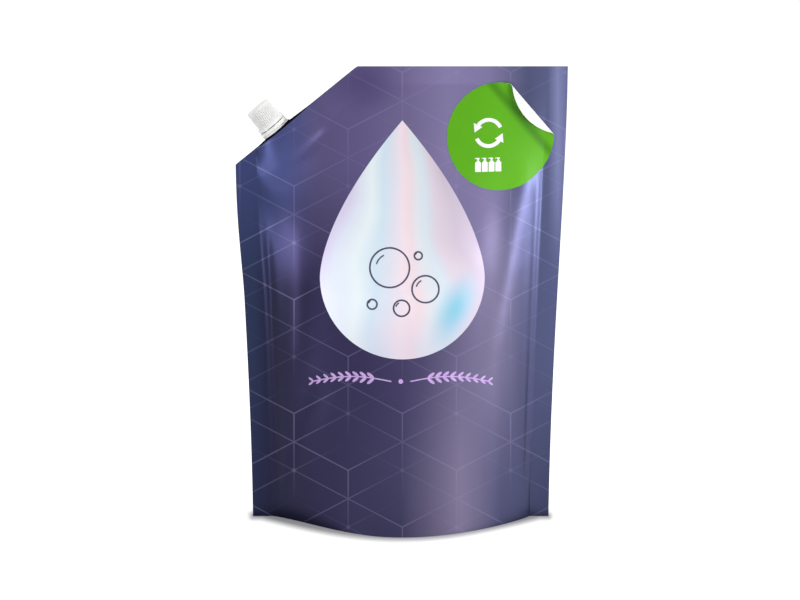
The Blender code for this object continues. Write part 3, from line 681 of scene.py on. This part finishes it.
def whitePlastic(name, colour, roughness, weight):
    # Moulded polypropylene or polyethylene: soft waxy white with a little light passing into it.
    material, tree, shader = newMaterial(name)
    place = addNode(tree, "ShaderNodeTexCoord")
    cloud, tint = mottledTint(tree, place.outputs["Object"], 160.0, 2.0,
                              [(0.35, colour[0]), (0.65, colour[1])])
    # Less light gets into the narrow valleys between the ribs. A piece without ribs has no such attribute.
    valley = addNode(tree, "ShaderNodeAttribute", {"attribute_name": "ribShade"})
    share = addNode(tree, "ShaderNodeMath", {"operation": "MULTIPLY"},
                    {0: valley.outputs["Fac"], 1: closure["ribShade"]})
    shaded = addNode(tree, "ShaderNodeMix", {"data_type": "RGBA"},
                     {"Factor": share, 6: tint, 7: hexColour("#c8c9c8")})
    dull = addNode(tree, "ShaderNodeMapRange", None,
                   {"Value": cloud, "To Min": roughness - 0.05, "To Max": roughness + 0.05})
    feedNode(tree, shader, {"Base Color": shaded.outputs[2], "Roughness": dull, "IOR": 1.49,
                            "Subsurface Weight": weight, "Subsurface Radius": (1.0, 1.0, 1.0),
                            "Subsurface Scale": 0.0008})
    # spark-eroded mould skin
    fineRelief(tree, shader, place.outputs["Object"], 2400.0, 2.0, 0.06, 0.0001)
    return material


capWhite = whitePlastic("capPolypropylene", ("#fbfbfa", "#fdfdfc"), 0.38, 0.15)
spoutWhite = whitePlastic("spoutPolyethylene", ("#eeefed", "#f4f4f3"), 0.42, 0.2)


def formPiece(form, name):
    mesh = bpy.data.meshes.new(name)
    form.to_mesh(mesh)
    form.free()
    piece = bpy.data.objects.new(name, mesh)
    bpy.context.scene.collection.objects.link(piece)
    return piece


def spunPiece(name, profile, steps):
    form = bmesh.new()
    points = [form.verts.new((radius, 0.0, level)) for radius, level in profile]
    for first, second in zip(points, points[1:]):
        form.edges.new((first, second))
    piece = formPiece(form, name)
    pickOnly(piece)
    bpy.ops.object.mode_set(mode="EDIT")
    bpy.ops.mesh.select_all(action="SELECT")
    bpy.ops.mesh.spin(steps=steps, angle=2 * math.pi, center=(0, 0, 0), axis=(0, 0, 1))
    bpy.ops.mesh.select_all(action="SELECT")
    bpy.ops.mesh.remove_doubles(threshold=weldGap)
    bpy.ops.mesh.normals_make_consistent(inside=False)
    bpy.ops.object.mode_set(mode="OBJECT")
    return piece


def ribbedCap():
    foot = closure["capBase"] + closure["capRimHeight"]
    head = closure["capTop"] - closure["capEdge"]
    edge = closure["capEdge"]
    top, topRadius = closure["capTop"], closure["capTopRadius"]
    profile = [(0.0, top), (topRadius * 0.5, top), (topRadius - edge, top)]
    for turn in (22.5, 45.0, 67.5, 90.0):
        angle = math.radians(turn)
        profile.append((topRadius - edge + edge * math.sin(angle), top - edge + edge * math.cos(angle)))
    for share in (0.04, 0.08, 0.3, 0.6, 0.9, 0.96, 1.0):
        radius = topRadius + (closure["capBaseRadius"] - topRadius) * share
        profile.append((radius, head + (foot - head) * share))
    rim, base = closure["capRimRadius"], closure["capBase"]
    bore, ceiling = closure["capBore"], closure["capCeiling"]
    plug, plugEnd, wall = closure["plugRadius"], closure["plugEnd"], closure["plugWall"]
    small, boreRound = closure["edgeRound"], closure["boreRound"]
    profile += [(rim - small, foot - small), (rim, foot - closure["rimDrop"]), (rim, base + small),
                (rim - closure["rimNick"], base), (bore + small, base), (bore, base + boreRound),
                (bore, ceiling - closure["ceilingRound"]), (bore - boreRound, ceiling), (plug, ceiling),
                (plug, plugEnd + small), (plug - small, plugEnd), (plug - wall, plugEnd),
                (plug - wall, ceiling), (0.0, ceiling)]
    piece = spunPiece("capShell", profile, closure["ribs"] * closure["stepsPerRib"])
    shade = piece.data.attributes.new("ribShade", "FLOAT", "POINT")
    ribFoot, footRun = closure["ribFoot"]
    ribHead, headRun = closure["ribHead"]
    margin = closure["ribMargin"]
    # Round-nosed ribs: each point of the skirt's wall is pushed in between the ribs.
    for index, vertex in enumerate(piece.data.vertices):
        radius = math.hypot(vertex.co.x, vertex.co.y)
        outer = radius > bore + boreRound
        upShare = (vertex.co.z - foot) / (head - foot)
        if outer and -margin < upShare < 1.0 + margin:
            turn = math.atan2(vertex.co.y, vertex.co.x) * closure["ribs"]
            valley = (0.5 - 0.5 * math.cos(turn)) ** closure["ribNose"]
            valley *= min(1.0, max(0.0, (upShare - ribFoot) / footRun))
            valley *= min(1.0, max(0.0, (ribHead - upShare) / headRun))
            push = closure["ribDepth"] * valley
            shade.data[index].value = valley
            vertex.co.x *= 1.0 - push / radius
            vertex.co.y *= 1.0 - push / radius
    return piece


def neckThread():
    # Two starts of one raised thread, each a strip wound up the neck.
    strips = []
    steps, runOut = closure["threadSteps"], closure["threadRunOut"]
    half, crestHalf = closure["threadWidth"], closure["threadWidth"] * closure["threadCrest"]
    root = closure["neckRadius"] - closure["threadSink"]
    for start in (0.0, math.pi):
        form = bmesh.new()
        rings = []
        for index in range(steps + 1):
            share = index / steps
            turn = start + share * closure["threadTurns"] * math.pi
            level = closure["threadStart"] + share * closure["threadTurns"] / 2 * closure["threadLead"]
            swell = max(closure["threadLeast"], min(1.0, runOut * share, runOut * (1.0 - share)) ** 0.5)
            crest = closure["neckRadius"] + swell * closure["threadDepth"]
            ring = []
            for radius, lift in ((root, -half), (crest, -crestHalf), (crest, crestHalf), (root, half)):
                ring.append(form.verts.new((radius * math.cos(turn), radius * math.sin(turn), level + lift)))
            rings.append(ring)
        for low, high in zip(rings, rings[1:]):
            for index in range(4):
                form.faces.new((low[index], low[(index + 1) % 4], high[(index + 1) % 4], high[index]))
        form.faces.new(rings[0][::-1])
        form.faces.new(rings[-1])
        bmesh.ops.recalc_face_normals(form, faces=form.faces[:])
        strips.append(formPiece(form, "neckThread"))
    pickOnly(*strips)
    bpy.ops.object.join()
    return bpy.context.object


def placeOnSpout(piece, material, body):
    piece.data.transform(spoutFrame)
    piece.data.materials.clear()
    piece.data.materials.append(material)
    pickOnly(piece)
    bpy.ops.object.shade_smooth_by_angle(angle=math.radians(closure["smoothAngle"]))
    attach(piece, body)


capShell = ribbedCap()
placeOnSpout(capShell, capWhite, "cap")
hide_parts("cap")

threads = neckThread()
placeOnSpout(threads, spoutWhite, "pack")

for nodeName, white in (("spout", spoutWhite), ("tamper_band", capWhite)):
    node = frame["nodes"][nodeName]
    node.data.materials.clear()
    node.data.materials.append(white)


print("stage 4: sticker")
sticker = {
    "radius": 0.0339,
    "x": 0.0630,
    "z": 0.2560,
    "thickness": 0.00016,
    "gap": 0.00035,
    "foldDistance": 0.0250,
    "foldAngle": 40.7,
    "curlRadius": 0.0012,
    "curlStop": 168.0,
    "dentAt": 0.0172,
    "dentHalf": 0.0048,
    "dentShade": 0.62,
    "liftStart": 0.0100,
    "liftHeight": 0.0008,
    "grid": 90,
    "weldGap": 0.000002,       # the grid's corners close up on the round rim
    "smoothAngle": 40,
}


def filmFace(sideways, height):
    across = sideways * halfWidth / widthAt(sideways, height)
    return filmSurface(across, height, -1)[1]


def stickerSpot(across, upward):
    turn = math.radians(sticker["foldAngle"])
    wayX, wayZ = math.cos(turn), math.sin(turn)
    past = across * wayX + upward * wayZ - sticker["foldDistance"]
    curl, stop = sticker["curlRadius"], math.radians(sticker["curlStop"])
    bend = np.clip(past / curl, 0.0, stop)
    rest = np.maximum(0.0, past - stop * curl)
    inPlane = curl * np.sin(bend) + rest * math.cos(stop)
    rise = curl * (1.0 - np.cos(bend)) + rest * math.sin(stop)
    move = np.where(past > 0.0, inPlane - past, 0.0)
    lift = np.where(past > 0.0, rise, 0.0)
    lift = lift + sticker["liftHeight"] * smooth((past + sticker["liftStart"]) / sticker["liftStart"]) ** 2
    x = sticker["x"] + across + wayX * move
    z = sticker["z"] + upward + wayZ * move
    return x, filmFace(x, z) - sticker["gap"] - lift, z


def stickerSheet():
    bpy.ops.mesh.primitive_grid_add(x_subdivisions=sticker["grid"], y_subdivisions=sticker["grid"], size=2)
    sheet = bpy.context.object
    sheet.name = "stickerSheet"
    spots = readSpots(sheet.data)
    away = np.sin(spots[:, 0] * math.pi / 2)
    along = np.sin(spots[:, 1] * math.pi / 2) * np.sqrt(np.maximum(0.0, 1.0 - away ** 2))
    turn = math.radians(sticker["foldAngle"])
    across = sticker["radius"] * (away * math.cos(turn) - along * math.sin(turn))
    upward = sticker["radius"] * (away * math.sin(turn) + along * math.cos(turn))
    x, y, z = stickerSpot(across, upward)
    sheet.data.vertices.foreach_set("co", np.stack((x, y, z), axis=1).ravel())
    pickOnly(sheet)
    bpy.ops.object.mode_set(mode="EDIT")
    bpy.ops.mesh.select_all(action="SELECT")
    bpy.ops.mesh.remove_doubles(threshold=sticker["weldGap"])
    bpy.ops.object.mode_set(mode="OBJECT")
    sheet.data.materials.clear()
    sheet.data.materials.append(stickerFace())
    sheet.data.materials.append(stickerBack())
    thick = sheet.modifiers.new("thickness", "SOLIDIFY")
    thick.thickness = sticker["thickness"]
    thick.offset = -1.0
    thick.material_offset = 1
    thick.material_offset_rim = 1
    bpy.ops.object.modifier_apply(modifier="thickness")
    bpy.ops.object.shade_smooth_by_angle(angle=math.radians(sticker["smoothAngle"]))
    return sheet


def stickerFace():
    # Varnished paper: an even leaf green with a soft sheen.
    material, tree, shader = newMaterial("stickerGreenPrint")
    place = addNode(tree, "ShaderNodeTexCoord")
    tint = mottledTint(tree, place.outputs["Object"], 30.0, 1.0, [(0.3, "#56a50a"), (0.7, "#5dac12")])[1]
    # painted shade: a soft dent beside the curl is shown as a darker streak painted into the green
    turn = math.radians(sticker["foldAngle"])
    wayX, wayZ = math.cos(turn), math.sin(turn)
    past = addNode(tree, "ShaderNodeVectorMath", {"operation": "DOT_PRODUCT"},
                   {0: place.outputs["Object"], 1: (wayX, 0.0, wayZ)})
    dentLine = sticker["x"] * wayX + sticker["z"] * wayZ + sticker["dentAt"]
    dent = addNode(tree, "ShaderNodeMath", {"operation": "SUBTRACT"}, {0: past.outputs["Value"], 1: dentLine})
    dentGap = addNode(tree, "ShaderNodeMath", {"operation": "ABSOLUTE"}, {0: dent})
    paintedDentShade = addNode(tree, "ShaderNodeMapRange", {"interpolation_type": "SMOOTHSTEP"},
                     {"Value": dentGap, "From Max": sticker["dentHalf"],
                      "To Min": sticker["dentShade"], "To Max": 0.0})
    shaded = addNode(tree, "ShaderNodeMix", {"data_type": "RGBA"},
                     {"Factor": paintedDentShade, 6: tint, 7: hexColour("#2f6a06")})
    feedNode(tree, shader, {"Base Color": shaded.outputs[2], "Roughness": 0.48, "Specular IOR Level": 0.25})
    fineRelief(tree, shader, place.outputs["Object"], 1500.0, 3.0, 0.05, 0.0001)
    return material


def stickerBack():
    # Bare paper with dry adhesive: clean white with a faint grey mottle.
    material, tree, shader = newMaterial("stickerPaperBack")
    place = addNode(tree, "ShaderNodeTexCoord")
    tint = mottledTint(tree, place.outputs["Object"], 260.0, 3.0, [(0.35, "#e6e6e8"), (0.6, "#f3f3f4")])[1]
    feedNode(tree, shader, {"Base Color": tint, "Roughness": 0.6})
    return material


deselectAll()
stickerPaper = stickerSheet()
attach(stickerPaper, "pack")
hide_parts("refill_sticker")


print("stage 5: printed marks")
marks = {
    "filmGap": 0.00010,
    "stickerGap": 0.00005,
    "bubbles": [
        (-7.0, 157.0, 13.0),
        (15.5, 143.5, 9.0),
        (0.5, 131.5, 5.6),
        (-18.0, 134.0, 3.6),
        (11.0, 164.5, 3.0),
    ],
    "bubbleLineMm": 1.1,
    "glint": (0.66, 0.8, 115, 50, 10),  # radius and line as shares of the ring's, start, sweep and steps
    "sprigLevelMm": 85.5,
    "sprigStartMm": 6.0,
    "sprigEndMm": 56.0,
    "sprigRiseMm": 3.2,
    "stemMm": 0.8,
    "stemPieces": 26,
    "stemOverlap": 1.06,
    "budPairs": 9,
    "budMm": (2.6, 0.95),
    "budShares": (0.22, 0.76),  # the first bud's place along the stem, and the run of the rest
    "budTaper": (1.15, 0.45),
    "budTilt": 38,
    "budOffset": (0.75, 0.66),
    "centreDotMm": 1.5,
    "loopCentreMm": (-7.6, 2.4),
    "loopRadiusMm": 8.2,
    "loopLineMm": 2.4,
    "loopStarts": (25, 205),
    "loopSweep": 118,
    "arrowAhead": 12,          # degrees from the arc's end to the arrow's middle
    "arrowSize": 1.45,
    "bottleCentresMm": (-14.2, -9.9, -5.6, -1.3),
    "bottleFootMm": -21.9,
    "bottleParts": [           # aside and above the foot, width, height and cuts
        (0.0, 3.0, 3.7, 6.0, 3),
        (0.0, 6.45, 2.2, 0.9, 1),
        (0.0, 7.3, 0.9, 1.0, 1),
        (0.0, 8.3, 1.9, 1.0, 1),
        (-1.45, 8.5, 1.1, 0.5, 1),
    ],
}


def printPlace(acrossMm, upMm):
    # walks to the point of the front film that the print's place lands on
    u, v = acrossMm / 1000, upMm / 1000
    x, z = u.copy(), v.copy()
    topAway = viewDistance - (pouch["height"] - viewAim) * math.sin(viewDown)
    for step in range(8):
        y = filmFace(x, z)
        away = viewDistance + y * math.cos(viewDown) - (z - viewAim) * math.sin(viewDown)
        up = (v - printFootOffset) * away / topAway
        z = viewAim + (up - y * math.sin(viewDown)) / math.cos(viewDown)
        x = u * away / topAway
    return x, filmFace(x, z) - marks["filmGap"], z


def stickerPlace(acrossMm, upMm):
    x, y, z = stickerSpot(acrossMm / 1000, upMm / 1000)
    return x, y - marks["stickerGap"], z


def layOn(pieces, name, place):
    # joins flat shapes drawn in millimetres and lays them on a curved face
    pickOnly(*pieces)
    bpy.ops.object.transform_apply(location=True, rotation=True, scale=True)
    bpy.ops.object.join()
    mark = bpy.context.object
    mark.name = name
    spots = readSpots(mark.data)
    x, y, z = place(spots[:, 0].copy(), spots[:, 1].copy())
    mark.data.vertices.foreach_set("co", np.stack((x, y, z), axis=1).ravel())
    mark.data.update()
    return mark


def flatRing(across, up, radius, line, segments=64):
    bpy.ops.mesh.primitive_circle_add(vertices=segments, radius=radius, fill_type="NGON",
                                      location=(across, up, 0))
    bpy.ops.object.mode_set(mode="EDIT")
    bpy.ops.mesh.select_all(action="SELECT")
    bpy.ops.mesh.inset(thickness=line)
    bpy.ops.mesh.delete(type="FACE")
    bpy.ops.object.mode_set(mode="OBJECT")
    return bpy.context.object


def flatArc(across, up, radius, line, start, sweep, steps=20):
    # a strip from one short edge, spun about the arc's centre
    bpy.ops.mesh.primitive_plane_add(size=1, location=(across, up, 0))
    strip = bpy.context.object
    form = bmesh.new()
    inner = form.verts.new((radius - line / 2, 0.0, 0.0))
    outer = form.verts.new((radius + line / 2, 0.0, 0.0))
    form.edges.new((inner, outer))
    turned = Matrix.Rotation(math.radians(start), 3, "Z")
    bmesh.ops.rotate(form, verts=form.verts[:], cent=(0, 0, 0), matrix=turned)
    bmesh.ops.spin(form, geom=form.verts[:] + form.edges[:], cent=(0, 0, 0), axis=(0, 0, 1),
                   angle=math.radians(sweep), steps=steps)
    bmesh.ops.recalc_face_normals(form, faces=form.faces[:])
    form.to_mesh(strip.data)
    form.free()
    return strip


def flatSheet(across, up, width, height, turn=0.0, cuts=2):
    bpy.ops.mesh.primitive_grid_add(x_subdivisions=cuts, y_subdivisions=cuts, size=1,
                                    location=(across, up, 0), rotation=(0, 0, math.radians(turn)))
    sheet = bpy.context.object
    sheet.scale = (width, height, 1)
    return sheet


def flatBud(across, up, length, width, turn):
    bpy.ops.mesh.primitive_circle_add(vertices=16, radius=1, fill_type="TRIFAN", location=(across, up, 0),
                                      rotation=(0, 0, math.radians(turn)))
    bud = bpy.context.object
    bud.scale = (length, width, 1)
    return bud


def flatArrow(across, up, size, turn):
    bpy.ops.mesh.primitive_circle_add(vertices=3, radius=size, fill_type="NGON", location=(across, up, 0),
                                      rotation=(0, 0, math.radians(turn - 90)))
    return bpy.context.object


def printInk(name, colours):
    # Screen ink: flat and slightly duller than what it lies on, with a faint mottle.
    material, tree, shader = newMaterial(name)
    place = addNode(tree, "ShaderNodeTexCoord")
    tint = mottledTint(tree, place.outputs["Object"], 220.0, 2.0,
                       [(0.35, colours[0]), (0.65, colours[1])])[1]
    feedNode(tree, shader, {"Base Color": tint, "Roughness": 0.5})
    return material


def soapBubbles():
    rings = []
    line = marks["bubbleLineMm"]
    inward, thinner, start, sweep, steps = marks["glint"]
    for across, up, radius in marks["bubbles"]:
        rings.append(flatRing(across, up, radius, line))
        rings.append(flatArc(across, up, radius * inward, line * thinner, start, sweep, steps))
    return layOn(rings, "bubbleMarks", printPlace)


def lavenderSprigs():
    pieces = []
    span = marks["sprigEndMm"] - marks["sprigStartMm"]
    stemSteps = marks["stemPieces"]
    firstBud, budRun = marks["budShares"]
    full, taper = marks["budTaper"]
    for side in (-1, 1):
        for index in range(stemSteps):
            share = (index + 0.5) / stemSteps
            across = side * (marks["sprigStartMm"] + span * share)
            up = marks["sprigLevelMm"] + marks["sprigRiseMm"] * math.sin(math.pi * share)
            slope = marks["sprigRiseMm"] * math.pi * math.cos(math.pi * share) / span * side
            pieces.append(flatSheet(across, up, span / stemSteps * marks["stemOverlap"], marks["stemMm"],
                                    math.degrees(math.atan(slope)), 1))
        for pair in range(marks["budPairs"]):
            share = firstBud + budRun * pair / (marks["budPairs"] - 1)
            across = side * (marks["sprigStartMm"] + span * share)
            up = marks["sprigLevelMm"] + marks["sprigRiseMm"] * math.sin(math.pi * share)
            length, width = (size * (full - taper * share) for size in marks["budMm"])
            aside, above = (length * offset for offset in marks["budOffset"])
            for lift in (-1, 1):
                tilt = marks["budTilt"] * lift
                pieces.append(flatBud(across + side * aside, up + lift * above, length, width,
                                      tilt if side > 0 else 180 - tilt))
    pieces.append(flatBud(0.0, marks["sprigLevelMm"], marks["centreDotMm"], marks["centreDotMm"], 0))
    return layOn(pieces, "lavenderMarks", printPlace)


def refillMarks():
    pieces = []
    across, up = marks["loopCentreMm"]
    radius, line = marks["loopRadiusMm"], marks["loopLineMm"]
    for start in marks["loopStarts"]:
        pieces.append(flatArc(across, up, radius, line, start, marks["loopSweep"]))
        tip = start + marks["loopSweep"] + marks["arrowAhead"]
        tipX, tipY = math.cos(math.radians(tip)), math.sin(math.radians(tip))
        pieces.append(flatArrow(across + radius * tipX, up + radius * tipY,
                                line * marks["arrowSize"], tip + 90))
    for centre in marks["bottleCentresMm"]:
        for aside, above, width, height, cuts in marks["bottleParts"]:
            pieces.append(flatSheet(centre + aside, marks["bottleFootMm"] + above, width, height, 0, cuts))
    return layOn(pieces, "refillMarks", stickerPlace)


def finishMark(mark, ink):
    mark.data.materials.clear()
    mark.data.materials.append(ink)
    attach(mark, "pack")


deselectAll()
finishMark(soapBubbles(), printInk("darkVioletInk", ("#3b3954", "#454360")))
finishMark(lavenderSprigs(), printInk("lilacInk", ("#bd9bd9", "#cbaae6")))
finishMark(refillMarks(), printInk("whiteInk", ("#efefef", "#f6f6f6")))


print("stage 6: studio")
studio = {
    "lensMm": 104.6,
    "floorSize": 14.0,
    "floorGlow": 0.70,
    "shadeReach": 0.019,
    "shadeUnder": 0.004,
    "shadeInset": 0.008,       # the shade starts this far inside the flat width
    "sideShadeFade": 2.2,      # and goes this much faster beside the pack
    "worldLight": 0.37,
    "aimAcross": -0.0005,
    "lamps": {                 # watts, size, place and aim
        "keyRight": (9.0, (1.0, 1.2), (1.90, -1.6, 1.9), (0.0, 0.0, 0.15)),
        "stripRight": (0.72, (0.12, 0.14), (0.31, -0.19, 0.20), (0.08, 0.0, 0.215)),
        "stripLeft": (0.19, (0.11, 0.14), (-0.30, -0.20, 0.12), (-0.075, 0.0, 0.18)),
        "fillLeft": (3.0, (1.0, 1.0), (-1.7, -1.2, 1.3), (0.0, 0.0, 0.15)),
        "topSoft": (13.5, (1.6, 1.0), (0.0, -0.2, 2.0), (0.0, 0.0, 0.1)),
    },
}


def softLamp(name, watts, size, place, aim):
    data = bpy.data.lights.new(name, "AREA")
    data.shape = "RECTANGLE"
    data.size, data.size_y = size
    data.energy = watts
    lamp = bpy.data.objects.new(name, data)
    lamp.location = place
    lamp.rotation_euler = (Vector(aim) - Vector(place)).to_track_quat("-Z", "Y").to_euler()
    bpy.context.scene.collection.objects.link(lamp)


def seenByEye(tree):
    # 1 where the camera, a reflection or a refraction looks, so that the background shows white
    path = addNode(tree, "ShaderNodeLightPath")
    direct = addNode(tree, "ShaderNodeMath", {"operation": "MAXIMUM"},
                     {0: path.outputs["Is Camera Ray"], 1: path.outputs["Is Glossy Ray"]})
    seen = addNode(tree, "ShaderNodeMath", {"operation": "MAXIMUM"},
                   {0: direct, 1: path.outputs["Is Transmission Ray"]})
    return seen.outputs[0]


def studioFloor():
    bpy.ops.mesh.primitive_plane_add(size=studio["floorSize"])
    floor = bpy.context.object
    floor.name = "studioFloor"
    material, tree, shader = newMaterial("paleStudioFloor")
    # The pack's close shade is painted on the floor: its colour and its glow dim near the curved rim and come
    # back within a finger's width.
    place = addNode(tree, "ShaderNodeTexCoord")
    parts = addNode(tree, "ShaderNodeSeparateXYZ", None, {0: place.outputs["Object"]})
    aside = addNode(tree, "ShaderNodeMath", {"operation": "ABSOLUTE"}, {0: parts})
    deep = addNode(tree, "ShaderNodeMath", {"operation": "ABSOLUTE"}, {0: parts.outputs[1]})
    turn = addNode(tree, "ShaderNodeMapRange", None,
                   {"Value": aside, "From Max": innerHalf, "To Max": math.pi / 2})
    curve = addNode(tree, "ShaderNodeMath", {"operation": "COSINE"}, {0: turn})
    rim = addNode(tree, "ShaderNodeMath", {"operation": "MULTIPLY"},
                  {0: curve, 1: pouch["bellyDepth"] + pouch["footFlare"]})
    before = addNode(tree, "ShaderNodeMath", {"operation": "SUBTRACT"}, {0: deep, 1: rim})
    past = addNode(tree, "ShaderNodeMath", {"operation": "SUBTRACT"},
                   {0: aside, 1: halfWidth - studio["shadeInset"]})
    beside = addNode(tree, "ShaderNodeMath", {"operation": "MULTIPLY"}, {0: past, 1: studio["sideShadeFade"]})
    frontGap = addNode(tree, "ShaderNodeMath", {"operation": "MAXIMUM"}, {0: before, 1: 0.0})
    sideGap = addNode(tree, "ShaderNodeMath", {"operation": "MAXIMUM"}, {0: beside, 1: 0.0})
    gapWay = addNode(tree, "ShaderNodeCombineXYZ", None, {0: frontGap, 1: sideGap})
    gap = addNode(tree, "ShaderNodeVectorMath", {"operation": "LENGTH"}, {0: gapWay})
    clear = addNode(tree, "ShaderNodeMapRange", {"interpolation_type": "SMOOTHSTEP"},
                    {"Value": gap.outputs["Value"], "From Min": -studio["shadeUnder"],
                     "From Max": studio["shadeReach"]})
    shade = addNode(tree, "ShaderNodeMix", {"data_type": "RGBA"},
                    {"Factor": clear, 6: hexColour("#8a8a8c"), 7: hexColour("#e8e8e8")})
    glow = addNode(tree, "ShaderNodeMath", {"operation": "MULTIPLY"}, {0: clear, 1: studio["floorGlow"]})
    lift = addNode(tree, "ShaderNodeMath", {"operation": "MULTIPLY"}, {0: seenByEye(tree), 1: glow})
    feedNode(tree, shader, {"Base Color": shade.outputs[2], "Roughness": 0.9,
                            "Emission Color": (1.0, 1.0, 1.0, 1.0), "Emission Strength": lift})
    floor.data.materials.append(material)


def studioWorld():
    world = bpy.context.scene.world or bpy.data.worlds.new("studioWorld")
    bpy.context.scene.world = world
    world.use_nodes = True
    tree = world.node_tree
    sky = tree.nodes["Background"]
    level = addNode(tree, "ShaderNodeMapRange", None,
                    {"Value": seenByEye(tree), "To Min": studio["worldLight"], "To Max": 1.0})
    feedNode(tree, sky, {"Color": (1.0, 1.0, 1.0, 1.0), "Strength": level})


def studioCamera():
    data = bpy.data.cameras.new("photoCamera")
    data.lens = studio["lensMm"]
    data.sensor_width = 36.0
    camera = bpy.data.objects.new("photoCamera", data)
    aim = Vector((studio["aimAcross"], 0.0, viewAim))
    back = Vector((0.0, -math.cos(viewDown), math.sin(viewDown))) * viewDistance
    camera.location = aim + back
    camera.rotation_euler = (-back).to_track_quat("-Z", "Y").to_euler()
    bpy.context.scene.collection.objects.link(camera)
    bpy.context.scene.camera = camera


deselectAll()
studioFloor()
studioWorld()
studioCamera()
for lampName, (watts, size, place, aim) in studio["lamps"].items():
    softLamp(lampName, watts, size, place, aim)
bpy.context.scene.view_settings.view_transform = "Standard"
